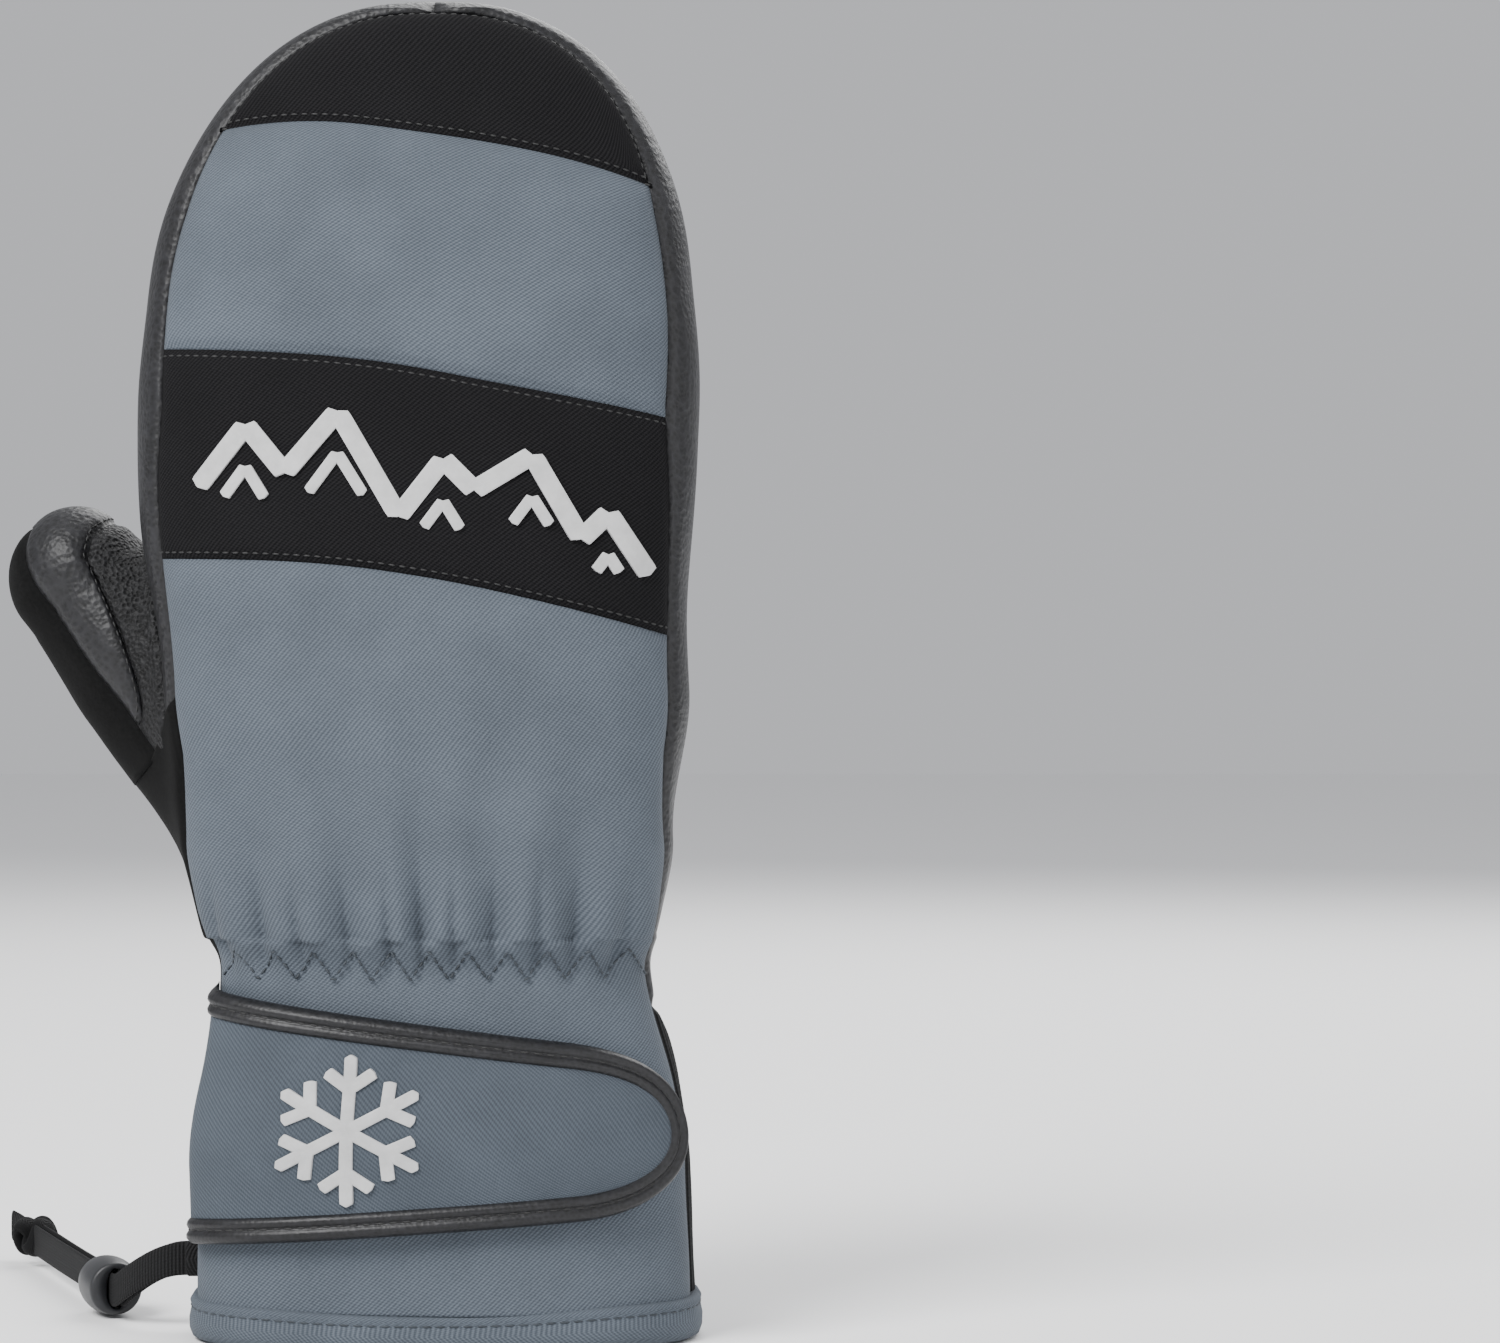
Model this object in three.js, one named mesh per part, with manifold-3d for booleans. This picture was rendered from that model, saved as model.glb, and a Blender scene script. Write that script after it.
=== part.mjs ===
// Ski mitten for the right hand, standing on its cuff with the fingers up.
// Millimetres, +Z up. The back of the hand faces -Y, the palm +Y and the thumb -X.
// The shell, insulation and lining are nested lobed bodies; seams are thin cuts that part them into panels.
import * as THREE from "three";
import { mergeVertices } from "three/addons/utils/BufferGeometryUtils.js";
import Module from "manifold-3d";

const wasm = await Module();
wasm.setup();

// ---------- driving dimensions ----------
const HEIGHT = 310.5; // hem to fingertip
const DOME_START = 215; // height at which the fingertip begins to round over
const HEM_HEIGHT = 9;
const HEM_PROUD = 1.5;
const WRIST = 88; // height of the elastic gathers
const GAP = 0.3; // room between neighbouring pieces
const SHELL = 1.8; // thickness of the outer panels
const FILL_FROM = SHELL + GAP;
const FILL_TO = 7;
const THUMB_FILL_TO = 4.8;
const LINING = 1.5;
const CUFF_LINING_AT = 3.6; // how far inside the outer face the lining lies at the cuff
const LINING_SEAM_Y = 2; // the lining's back and palm halves meet here

// half widths, half depths and centres of the outer face, as [height, value]
const HALF_WIDTH = [[0, 57.6], [40, 57], [WRIST, 49.6], [115, 56.5], [150, 60.5], [205, 64.6], [400, 64.6]];
const HALF_DEPTH = [[0, 33], [40, 31.5], [WRIST, 26.5], [122, 31], [165, 32.5], [215, 30.5], [400, 30.5]];
const CENTRE_X = [
  [0, 0], [60, -0.8], [WRIST, -2.6], [125, -4.5], [205, -7], [240, -6.2], [HEIGHT, -3], [400, -3],
];
const CENTRE_Y = [[0, 0], [120, 0], [HEIGHT, 7], [400, 7]];
const ROUNDNESS = 2.5; // exponent of the section, 2 being an ellipse

// the thumb's middle line, from inside the palm to the middle of its tip, and its radii there
const THUMB_LINE = new THREE.QuadraticBezierCurve3(
  new THREE.Vector3(-31, 13, 115),
  new THREE.Vector3(-57, 18, 139),
  new THREE.Vector3(-88.5, 20, 176.5),
);
const THUMB_RADIUS = [[0, 26], [0.35, 23.5], [0.7, 20], [1, 16.2]];
const THUMB_FLATNESS = 0.94; // its depth over its width
const THUMB_PIVOT = new THREE.Vector3(-47, 16, 130);
const THUMB_BALL = 27; // the ball at the thumb's root, about which it turns
const THUMB_CLEARANCE = 0.6;

// ---------- small helpers ----------
// Smooth value between [place, value] pairs.
function along(pairs, at) {
  const i = Math.max(1, pairs.findIndex(([place]) => place >= at));
  const [[from, a], [to, b]] = [pairs[i - 1], pairs[i]];
  const t = THREE.MathUtils.clamp((at - from) / (to - from), 0, 1);
  return a + (b - a) * t * t * (3 - 2 * t);
}

// A closed three.js geometry as a manifold solid.
function solid(geometry) {
  const bare = geometry.index ? geometry.toNonIndexed() : geometry.clone();
  bare.deleteAttribute("normal");
  bare.deleteAttribute("uv");
  const merged = mergeVertices(bare, 1e-3);
  return new wasm.Manifold(
    new wasm.Mesh({
      numProp: 3,
      vertProperties: new Float32Array(merged.attributes.position.array),
      triVerts: new Uint32Array(merged.index.array),
    }),
  );
}

// A manifold solid as a named three.js mesh.
function named(name, body, material) {
  const data = body.asOriginal().simplify(0.02).getMesh();
  const geometry = new THREE.BufferGeometry();
  const places = new Float32Array(data.numVert * 3);
  for (let i = 0; i < data.numVert; i++)
    places.set(data.vertProperties.subarray(i * data.numProp, i * data.numProp + 3), i * 3);
  geometry.setAttribute("position", new THREE.BufferAttribute(places, 3));
  geometry.setIndex(new THREE.BufferAttribute(new Uint32Array(data.triVerts), 1));
  const mesh = new THREE.Mesh(geometry, material);
  mesh.name = name;
  return mesh;
}

// A flat shape of X and Z, carried along Y from one depth to another.
function alongY(shape, from, to, curveSegments = 6) {
  const settings = { depth: to - from, bevelEnabled: false, curveSegments };
  const geometry = new THREE.ExtrudeGeometry(shape, settings);
  geometry.rotateX(Math.PI / 2);
  geometry.translate(0, to, 0);
  return solid(geometry);
}

// A flat shape of Y and Z, carried along X from one place to another.
function alongX(shape, from, to) {
  const geometry = new THREE.ExtrudeGeometry(shape, { depth: to - from, bevelEnabled: false });
  const turn = new THREE.Matrix4().makeBasis(
    new THREE.Vector3(0, 1, 0),
    new THREE.Vector3(0, 0, 1),
    new THREE.Vector3(1, 0, 0),
  );
  geometry.applyMatrix4(turn);
  geometry.translate(from, 0, 0);
  return solid(geometry);
}

function block(x0, x1, y0, y1, z0, z1) {
  const geometry = new THREE.BoxGeometry(x1 - x0, y1 - y0, z1 - z0);
  geometry.translate((x0 + x1) / 2, (y0 + y1) / 2, (z0 + z1) / 2);
  return solid(geometry);
}

// A band of one width that follows a line of points, as a flat shape.
function ribbon(points, width) {
  const left = [];
  const right = [];
  points.forEach((p, i) => {
    const before = points[Math.max(i - 1, 0)];
    const after = points[Math.min(i + 1, points.length - 1)];
    const side = after.clone().sub(before).normalize();
    side.set(-side.y, side.x).multiplyScalar(width / 2);
    left.push(p.clone().add(side));
    right.unshift(p.clone().sub(side));
  });
  return new THREE.Shape([...left, ...right]);
}

const vectors = (pairs) => pairs.map(([x, y]) => new THREE.Vector2(x, y));
const curved = (pairs, steps) => new THREE.SplineCurve(vectors(pairs)).getPoints(steps);

// The largest closed body of a solid, without slivers.
function main(body) {
  const bodies = body.decompose();
  const volumes = bodies.map((b) => b.volume());
  return bodies[volumes.indexOf(Math.max(...volumes))];
}

// The body of several that holds a small ball at a place.
function holding(bodies, x, y, z, reach = 4) {
  const ball = new THREE.SphereGeometry(reach, 8, 6);
  ball.translate(x, y, z);
  const probe = solid(ball);
  const shares = bodies.map((b) => b.intersect(probe).volume());
  return bodies[shares.indexOf(Math.max(...shares))];
}

// ---------- the lobed bodies ----------
// The section of the hand and cuff at a height, drawn in by inset all round.
function section(z, inset) {
  const tip = HEIGHT - inset;
  const t = THREE.MathUtils.clamp((z - DOME_START) / (tip - DOME_START), 0, 1);
  return {
    x: along(CENTRE_X, z),
    y: along(CENTRE_Y, z),
    a: (along(HALF_WIDTH, z) - inset) * (1 - t ** 2.5) ** (1 / 2.2),
    b: (along(HALF_DEPTH, z) - inset) * (1 - t ** 2.3) ** (1 / 2.3),
  };
}

// The hand and cuff as one closed lobe: a sphere whose rows are laid at set heights.
// The inset is a length, or a function that gives one for a height.
function handLobe(inset, around, heights, domeRows) {
  const insetAt = typeof inset === "function" ? inset : () => inset;
  const tip = HEIGHT - insetAt(HEIGHT);
  const dome = Array.from({ length: domeRows }, (_, k) => {
    const t = Math.sin(((k + 1) / (domeRows + 1)) * (Math.PI / 2));
    return DOME_START + (tip - DOME_START) * t;
  });
  const rows = [tip, ...dome.reverse(), ...[...heights].reverse()];
  const sphere = new THREE.SphereGeometry(1, around, rows.length);
  const place = sphere.attributes.position;
  for (let i = 0; i < place.count; i++) {
    const row = Math.floor(i / (around + 1));
    const turn = (2 * Math.PI * (i % (around + 1))) / around;
    const z = rows[Math.min(row, rows.length - 1)];
    const s = section(z, insetAt(z));
    const flat = row === 0 || row === rows.length ? 0 : 1; // the poles
    const c = -Math.cos(turn);
    const d = -Math.sin(turn);
    const x = Math.sign(c) * Math.abs(c) ** (2 / ROUNDNESS) * s.a * flat;
    const y = Math.sign(d) * Math.abs(d) ** (2 / ROUNDNESS) * s.b * flat;
    place.setXYZ(i, s.x + x, s.y + y, z);
  }
  return solid(sphere);
}

// The thumb as one closed lobe round its middle line, with both ends domed.
function thumbLobe(inset, around, rows) {
  const sphere = new THREE.SphereGeometry(1, around, rows);
  const place = sphere.attributes.position;
  const domeRows = 3;
  const across = new THREE.Vector3(0, 1, 0);
  for (let i = 0; i < place.count; i++) {
    const fromBase = rows - Math.floor(i / (around + 1));
    const turn = (2 * Math.PI * (i % (around + 1))) / around;
    const t = THREE.MathUtils.clamp((fromBase - domeRows) / (rows - 2 * domeRows), 0, 1);
    const centre = THUMB_LINE.getPoint(t);
    const way = THUMB_LINE.getTangent(t);
    const up = new THREE.Vector3().crossVectors(way, across).normalize();
    const beyond = Math.max(domeRows - fromBase, fromBase - (rows - domeRows), 0) / domeRows;
    const bend = (beyond * Math.PI) / 2;
    const radius = along(THUMB_RADIUS, t) - inset;
    centre.addScaledVector(way, (t < 0.5 ? -1 : 1) * radius * Math.sin(bend));
    const reach = beyond === 1 ? 0 : radius * Math.cos(bend);
    centre.addScaledVector(up, reach * Math.sin(turn));
    centre.addScaledVector(across, THUMB_FLATNESS * reach * Math.cos(turn));
    place.setXYZ(i, centre.x, centre.y, centre.z);
  }
  return solid(sphere);
}

const FINE_ROWS = [0, HEM_HEIGHT, 24, 40, 56, 72, WRIST, 102, 122, 145, 180, DOME_START];
const PLAIN_ROWS = [0, 40, 70, WRIST, 102, 122, 150, 185, DOME_START];
const FINE_AROUND = 30;
const PLAIN_AROUND = 20;
const outerLobe = (inset) => handLobe(inset, FINE_AROUND, FINE_ROWS, 5);
const innerLobe = (inset) => handLobe(inset, PLAIN_AROUND, PLAIN_ROWS, 3);
const below = (z) => block(-200, 200, -200, 200, -50, z);

// ---------- materials ----------
const cloth = (color, roughness) => new THREE.MeshStandardMaterial({ color, roughness, metalness: 0 });
const blueTwill = cloth(0x737e8a, 0.8);
const blackTwill = cloth(0x2b2a2d, 0.85);
const leather = cloth(0x29282b, 0.55);
const pebblePatch = cloth(0x222224, 0.6);
const softshell = cloth(0x1b1b1c, 0.95);
const ribKnit = cloth(0x1d1d1f, 0.95);
const bindingLeather = cloth(0x262528, 0.45);
const greyPrint = cloth(0xc8c8ca, 0.6);
const webbing = cloth(0x1c1c1e, 0.9);
const clipPlastic = cloth(0x434347, 0.4);
const lockPlastic = cloth(0x2c2d30, 0.45);
const fleece = cloth(0x2e2e31, 1);
const wadding = cloth(0xe4e2dc, 1);
const elastic = cloth(0xd9d8d4, 0.9);
const hookTape = cloth(0x1a1a1b, 0.9);

// ---------- seams, as thin cuts ----------
const SEAM = 0.35;
const FRONT = [-80, -2];
const BACK = [2, 80];

// Seams across the back of the hand, in X and Z.
const tipSeam = [[-75, 278], [-34, 280.7], [-6, 278], [26, 272.5], [53, 265], [75, 258]];
const bandTop = [[-80, 229], [-22.6, 225.6], [17, 219], [56, 211.6], [80, 206]];
const bandFoot = [[-80, 180], [-34, 179], [-4, 175.6], [26, 169.3], [55, 161.6], [80, 154]];

// Seams round the edge of the hand, in Y and Z: the back panels' edge, and the palm's.
const backEdge = [[-5, 0], [-5, 100], [-13, 135], [-13, 215], [-9, 260], [-3, 300], [0, 330]];
const palmEdge = [[18, 60], [18, 225], [20, 265], [17, 300], [13, 330]];

// Seams on the palm side, in X and Z.
const thumbRootSeam = [
  [-90, 178], [-62, 178], [-42, 171], [-26, 162], [-15, 152], [-10.5, 138], [-10, 122], [-13, 106],
  [-18, 94],
];
const thumbSideSeam = [[-118, 200], [-101, 184], [-70, 148], [-50, 127], [-30, 108], [-18, 94], [-17, 60]];
const patchSeam = [[-90, 222], [-54, 221], [-47, 210], [-44.5, 190], [-39, 176], [-29, 161]];
const thumbPatchSeam = [[-82, 202], [-83, 183], [-80, 170], [-73, 154], [-70, 145]];
const thumbTipSeam = [[-87, 202], [-88, 187], [-84, 172], [-77, 161], [-72, 146]];

const across = (pairs, [from, to], steps = 12) => alongY(ribbon(curved(pairs, steps), SEAM), from, to);
const round = (pairs, from, to) => alongX(ribbon(vectors(pairs), SEAM), from, to);

// ---------- the outer shell, parted into panels ----------
const pivotBall = (radius) => {
  const ball = new THREE.SphereGeometry(radius, 20, 14);
  ball.translate(...THUMB_PIVOT.toArray());
  return solid(ball);
};
const outerBall = pivotBall(THUMB_BALL + THUMB_CLEARANCE);
const handClearance = outerLobe(-THUMB_CLEARANCE);

// Everything on the hand's side of a plane through the pivot, square to the thumb's middle line.
const thumbWay = THUMB_LINE.getTangent(0.32);
const rootSpace = new THREE.BoxGeometry(200, 200, 200);
rootSpace.translate(0, 0, -100);
rootSpace.applyQuaternion(new THREE.Quaternion().setFromUnitVectors(new THREE.Vector3(0, 0, 1), thumbWay));
rootSpace.translate(...THUMB_PIVOT.toArray());
const root = solid(rootSpace);

// What belongs to the thumb lies outside the ball and clear of the hand; the rest stays with the hand.
const thumbOf = (body) => main(body.subtract(outerBall).subtract(root).subtract(handClearance));
const handOf = (body, hand, inset = 0) => body.intersect(pivotBall(THUMB_BALL - inset).add(root)).add(hand);

const shellOuter = handOf(thumbLobe(0, 16, 12), outerLobe(0));
const shellInner = handOf(thumbLobe(SHELL, 16, 12), outerLobe(SHELL));
const handShell = shellOuter.subtract(shellInner).subtract(below(HEM_HEIGHT + GAP));

const handSeams = [
  across(tipSeam, FRONT),
  across(bandTop, FRONT),
  across(bandFoot, FRONT),
  round(backEdge, -120, 120),
  round(palmEdge.map(([y, z]) => [y, Math.max(z, 70)]), -3.8, 120),
  round(palmEdge.map(([y, z]) => [y, Math.max(z, 150)]), -120, -4.2),
  block(-4.2, -3.8, -6, 24, 285, 330),
  across(thumbRootSeam, BACK),
  across(thumbSideSeam, [-13, 80]),
  across(patchSeam, [0, 80]),
  block(-120, -44, -13, 18, 149.8, 150.2),
  block(-200, 200, -5, 80, 76, 76 + SEAM),
];
const panels = handSeams.reduce((body, seam) => body.subtract(seam), handShell).decompose();
const panelAt = (x, y, z) => holding(panels, x, y, z);

const hand = new THREE.Group();
hand.add(named("back_tip_panel", panelAt(-3, -16, 285), blackTwill));
hand.add(named("back_upper_panel", panelAt(-5, -28, 245), blueTwill));
hand.add(named("back_band_panel", panelAt(-5, -30, 195), blackTwill));
hand.add(named("back_lower_panel", panelAt(-4, -31, 140), blueTwill));
hand.add(named("side_wall_outer", panelAt(57, 0, 190), leather));
hand.add(named("side_wall_thumb", panelAt(-71, 0, 225), leather));
hand.add(named("palm_panel", panelAt(10, 33, 190), leather));
hand.add(named("crotch_patch", panelAt(-60, 22, 195), pebblePatch));
hand.add(named("thumb_root_panel", panelAt(-35, 33, 145), leather));
hand.add(named("softshell_gusset", panelAt(-52, 10, 100), softshell));
hand.add(named("cuff_palm_panel", panelAt(0, 31, 40), ribKnit));

// ---------- hem, elastic, insulation and lining ----------
const hemRing = outerLobe(-HEM_PROUD)
  .subtract(outerLobe(CUFF_LINING_AT + LINING + GAP).add(block(-40, 40, -20, 20, -50, 5)))
  .intersect(block(-200, 200, -200, 200, 0, HEM_HEIGHT));
hand.add(named("hem_binding", hemRing, blueTwill));

const elasticBand = outerLobe(SHELL + GAP)
  .subtract(outerLobe(SHELL + GAP + 0.9))
  .intersect(block(-200, 200, -200, 200, WRIST - 4, WRIST + 4));
hand.add(named("wrist_elastic", elasticBand, elastic));

const fill = handOf(thumbLobe(FILL_FROM, 16, 12), outerLobe(FILL_FROM), GAP)
  .subtract(handOf(thumbLobe(THUMB_FILL_TO, 12, 10), innerLobe(FILL_TO), GAP))
  .subtract(below(WRIST + 6));
hand.add(named("hand_insulation", main(fill), wadding));

// The lining lies close behind the cuff and, above the wrist, inside the insulation.
const liningInset = (extra) => (z) =>
  THREE.MathUtils.lerp(CUFF_LINING_AT, FILL_TO + 3 * GAP, THREE.MathUtils.smoothstep(z, 70, 92)) + extra;
const thumbLiningOuter = thumbLobe(THUMB_FILL_TO + 3 * GAP, 12, 10);
const thumbLiningInner = thumbLobe(THUMB_FILL_TO + 3 * GAP + LINING, 12, 10);
const lining = handOf(thumbLiningOuter, innerLobe(liningInset(0)), 5 * GAP)
  .subtract(handOf(thumbLiningInner, innerLobe(liningInset(LINING)), 5 * GAP))
  .subtract(below(HEM_HEIGHT + GAP));
const palmHalf = block(-200, 200, LINING_SEAM_Y, 80, 0, 330);
const backHalf = block(-200, 200, -80, LINING_SEAM_Y + SEAM, 0, 330);
hand.add(named("lining_back", main(lining.subtract(palmHalf)), fleece));
hand.add(named("lining_palm", main(lining.subtract(backHalf)), fleece));

// ---------- thumb ----------
const thumbShell = thumbOf(thumbLobe(0, 16, 12).subtract(thumbLobe(SHELL, 16, 12)));
const crotchSide = new THREE.Shape(
  vectors([[-100, 210], [-92, 180], [-75, 156], [-56, 134], [-20, 134], [-20, 210]]),
);
const thumbSeams = [
  across(thumbSideSeam, [-80, 80]),
  across(thumbPatchSeam, [-80, 18]),
  across(thumbTipSeam, [18, 80]),
  alongY(crotchSide, 18 - SEAM / 2, 18 + SEAM / 2),
];
const thumbPanels = thumbSeams.reduce((body, seam) => body.subtract(seam), thumbShell).decompose();
const thumbPanelAt = (x, y, z) => holding(thumbPanels, x, y, z);

const thumb = new THREE.Group();
thumb.add(named("thumb_palm_panel", thumbPanelAt(-66, 37, 155), leather));
thumb.add(named("thumb_tip_panel", thumbPanelAt(-96, 20, 186), leather));
thumb.add(named("thumb_softshell", thumbPanelAt(-86, 20, 143), softshell));
thumb.add(named("thumb_patch", thumbPanelAt(-73, 3, 170), pebblePatch));

const thumbFill = thumbLobe(FILL_FROM, 16, 12).subtract(thumbLobe(THUMB_FILL_TO, 12, 10));
thumb.add(named("thumb_insulation", thumbOf(thumbFill), wadding));
thumb.add(named("thumb_lining", thumbOf(thumbLiningOuter.subtract(thumbLiningInner)), fleece));

// ---------- wrist strap ----------
const STRAP_ROOT_Y = -3; // where the strap leaves the side seam
const strapOutline = new THREE.Shape()
  .moveTo(-75, 22)
  .lineTo(-57, 22.6)
  .lineTo(30, 30.2)
  .bezierCurveTo(45, 32, 51.5, 39, 51.5, 50)
  .bezierCurveTo(51.5, 62, 45, 67.5, 30, 69.6)
  .lineTo(-53, 81)
  .lineTo(-75, 83);
const BINDING_WIDTH = 5;
const strapInner = new THREE.Shape()
  .moveTo(-75, 27.4)
  .lineTo(-57, 27.8)
  .lineTo(30, 35.3)
  .bezierCurveTo(41, 36.6, 46.5, 41, 46.5, 50)
  .bezierCurveTo(46.5, 59, 41, 63, 30, 64.4)
  .lineTo(-53, 75.8)
  .lineTo(-75, 78);

// A layer that lies over the outer face between two distances, inside an outline of X and Z.
const layer = (from, to, outline, y0, y1) =>
  outerLobe(-to).subtract(outerLobe(-from)).intersect(alongY(outline, y0, y1, 8));
const overBack = (from, to, outline) => layer(from, to, outline, -80, STRAP_ROOT_Y);
const rectangle = (x0, x1, z0, z1) => new THREE.Shape(vectors([[x0, z0], [x1, z0], [x1, z1], [x0, z1]]));
const grown = alongY(strapInner, -80, STRAP_ROOT_Y, 8);

const strap = new THREE.Group();
strap.add(named("strap_binding", overBack(2, 5.4, strapOutline).subtract(grown), bindingLeather));
const strapFace = overBack(3.5, 4.9, strapInner).subtract(overBack(2, 5.4, strapOutline).subtract(grown));
const seamRoom = alongY(ribbon(strapInner.getPoints(8), 2 * GAP), -80, 0);
strap.add(named("strap_face", strapFace.subtract(seamRoom), blueTwill));
strap.add(named("strap_backing", overBack(2.5, 3.2, strapInner).subtract(seamRoom), softshell));
strap.add(named("hook_pad", overBack(1.4, 2.2, rectangle(4, 40, 40, 60)), hookTape));
hand.add(named("loop_pad", overBack(0.3, 1.1, rectangle(-26, 42, 38, 62)), hookTape));

// ---------- prints ----------
// A six-armed snow crystal on the strap, as one shape of bars.
const EMBLEM = { x: -18.6, z: 50.5, reach: 17, bar: 2.6 };
function bar(x0, z0, x1, z1, width) {
  return alongY(ribbon(vectors([[x0, z0], [x1, z1]]), width), -80, 0);
}
let crystal = null;
for (let arm = 0; arm < 6; arm++) {
  const angle = (arm * Math.PI) / 3 + Math.PI / 6;
  const at = (r, turn = 0, from = [EMBLEM.x, EMBLEM.z]) => [
    from[0] + r * Math.cos(angle + turn),
    from[1] + r * Math.sin(angle + turn),
  ];
  const fork = at(0.55 * EMBLEM.reach);
  const bars = [[at(0), at(EMBLEM.reach)]];
  for (const turn of [-0.95, 0.95]) bars.push([fork, at(0.38 * EMBLEM.reach, turn, fork)]);
  for (const [[x0, z0], [x1, z1]] of bars) {
    const piece = bar(x0, z0, x1, z1, EMBLEM.bar);
    crystal = crystal ? crystal.add(piece) : piece;
  }
}
const crystalLayer = outerLobe(-5.6).subtract(outerLobe(-5.2)).intersect(crystal);
strap.add(named("strap_emblem", crystalLayer, greyPrint));

// A mountain ridge line along the black band.
const ridge = [
  [-55, 196], [-44, 210], [-35, 199], [-23, 213], [-9, 189], [1, 202], [8, 195], [21, 203], [32, 184],
  [38, 190], [47, 176],
];
const RIDGE_WIDTH = 4.4;
const ridgeLayer = layer(0.3, 0.7, ribbon(vectors(ridge), RIDGE_WIDTH), -80, 0);
hand.add(named("band_print", ridgeLayer, greyPrint));

// ---------- hanging label and clip, on the palm side of the cuff ----------
const LABEL = { x: -13, y: 33.6, z: 29, lean: 17.4, width: 15, length: 40, thick: 1.6 }; // lean in degrees
const CLIP = { thick: 2.6, slotWide: 16.4, slotTall: 8.5 };
const cuffLean = Math.atan2(5, 56); // the cuff draws in towards the wrist
const labelFrame = new THREE.Group();
labelFrame.position.set(LABEL.x, LABEL.y, LABEL.z);
labelFrame.rotation.set(cuffLean, THREE.MathUtils.degToRad(LABEL.lean), 0);

// Both are drawn flat in X and Z of the label's own frame, with Y outwards.
const labelShape = rectangle(-LABEL.width / 2, LABEL.width / 2, 0, LABEL.length);
const foldRadius = 1.9;
const fold = new THREE.CylinderGeometry(foldRadius, foldRadius, LABEL.width, 16);
fold.rotateZ(Math.PI / 2);
fold.translate(0, foldRadius + 0.1, LABEL.length + 1.2);
const barRoom = new THREE.CylinderGeometry(1.15, 1.15, LABEL.width + 2, 16);
barRoom.rotateZ(Math.PI / 2);
barRoom.translate(0, foldRadius + 0.1, LABEL.length + 1.2);
const tape = alongY(labelShape, 0.2, 0.2 + LABEL.thick).add(solid(fold)).subtract(solid(barRoom));
const labelTape = named("label_tape", tape, webbing);
const labelPrint = named(
  "label_print",
  alongY(ribbon(vectors([[0, 5], [0, 33]]), 5), LABEL.thick + 0.5, LABEL.thick + 0.8),
  greyPrint,
);
labelFrame.add(labelTape, labelPrint);

// The clip's lower bar runs through the fold; a slotted frame on one side, a hooked plate on the other.
const clipShape = new THREE.Shape()
  .moveTo(10.6, 0)
  .lineTo(-10.4, 0)
  .bezierCurveTo(-12, 3.6, -15.5, 3.6, -16.2, 0.6)
  .lineTo(-16.8, -0.9)
  .lineTo(-20.4, -0.9)
  .lineTo(-20.4, 17.6)
  .lineTo(-17.4, 17.6)
  .bezierCurveTo(-17.2, 11.6, -11.4, 10.4, -9.6, 13.4)
  .lineTo(10.6, 13.4);
const slot = rectangle(-CLIP.slotWide / 2, CLIP.slotWide / 2, 1.9, 1.9 + CLIP.slotTall);
const barZ = LABEL.length + 1.2;
const barY = foldRadius + 0.1;
const plate = alongY(clipShape, -CLIP.thick / 2, CLIP.thick / 2, 8).subtract(alongY(slot, -5, 5));
const thinBar = block(-CLIP.slotWide / 2, CLIP.slotWide / 2, -5, 5, -2, 1.9);
const roundBar = new THREE.CylinderGeometry(0.85, 0.85, CLIP.slotWide + 1, 16);
roundBar.rotateZ(Math.PI / 2);
const clipBody = plate.subtract(thinBar).add(solid(roundBar));
const clip = named("mitten_clip", clipBody, clipPlastic);
clip.position.set(0, barY, barZ);
labelFrame.add(clip);

// ---------- leash ----------
const TAPE = { thick: 1.4, wide: 7.4, apart: 1.05, chamfer: 0.4 };
const TAB = { x: -59.8, y: 9, z: 16.5, thick: 3.6, across: 4.6, tall: 8.6 };
const TURN_RADIUS = 18;
const LEASH_Z = 7.1; // the tapes' middle once they lie along the ground
const LEASH_LENGTH = 126; // from the tab to the knot
const FALL_OVER = 25;
const LEASH_HEADING = Math.atan2(0.947, -0.32);
const exit = new THREE.Vector3(TAB.x - TAB.thick / 2 - GAP, TAB.y, TAB.z);

// The middle of the leash at a distance from its exit: out to the side, round and down, then straight.
function leashPoint(distance) {
  const turn = Math.min(distance / TURN_RADIUS, Math.PI - LEASH_HEADING);
  const straight = distance - turn * TURN_RADIUS;
  const fall = THREE.MathUtils.smoothstep(distance, 0, FALL_OVER);
  return new THREE.Vector3(
    exit.x - TURN_RADIUS * Math.sin(turn) + straight * Math.cos(LEASH_HEADING),
    exit.y + TURN_RADIUS * (1 - Math.cos(turn)) + straight * Math.sin(LEASH_HEADING),
    THREE.MathUtils.lerp(exit.z, LEASH_Z, fall),
  );
}

// One strand of tape standing on its edge, drawn straight and then bent to follow the leash.
function strand(side) {
  const [a, b, c] = [TAPE.thick / 2, TAPE.wide / 2, TAPE.chamfer];
  const half = [[a - c, b], [c - a, b], [-a, b - c], [-a, c - b]];
  const shape = new THREE.Shape(vectors([...half, ...half.map(([x, y]) => [-x, -y])]));
  const settings = { depth: LEASH_LENGTH, steps: 36, bevelEnabled: false };
  const geometry = new THREE.ExtrudeGeometry(shape, settings);
  const place = geometry.attributes.position;
  for (let i = 0; i < place.count; i++) {
    const distance = place.getZ(i);
    const heading = Math.PI - Math.min(distance / TURN_RADIUS, Math.PI - LEASH_HEADING);
    const aside = side + place.getX(i);
    const p = leashPoint(distance);
    place.setXYZ(i, p.x - aside * Math.sin(heading), p.y + aside * Math.cos(heading), p.z + place.getY(i));
  }
  return solid(geometry);
}
hand.add(named("leash_strand_upper", strand(-TAPE.apart), webbing));
hand.add(named("leash_strand_lower", strand(TAPE.apart), webbing));

const tab = new THREE.Mesh(new THREE.BoxGeometry(TAB.thick, TAB.across, TAB.tall), webbing);
tab.name = "leash_tab";
tab.position.set(TAB.x, TAB.y, TAB.z);
hand.add(tab);

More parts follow.
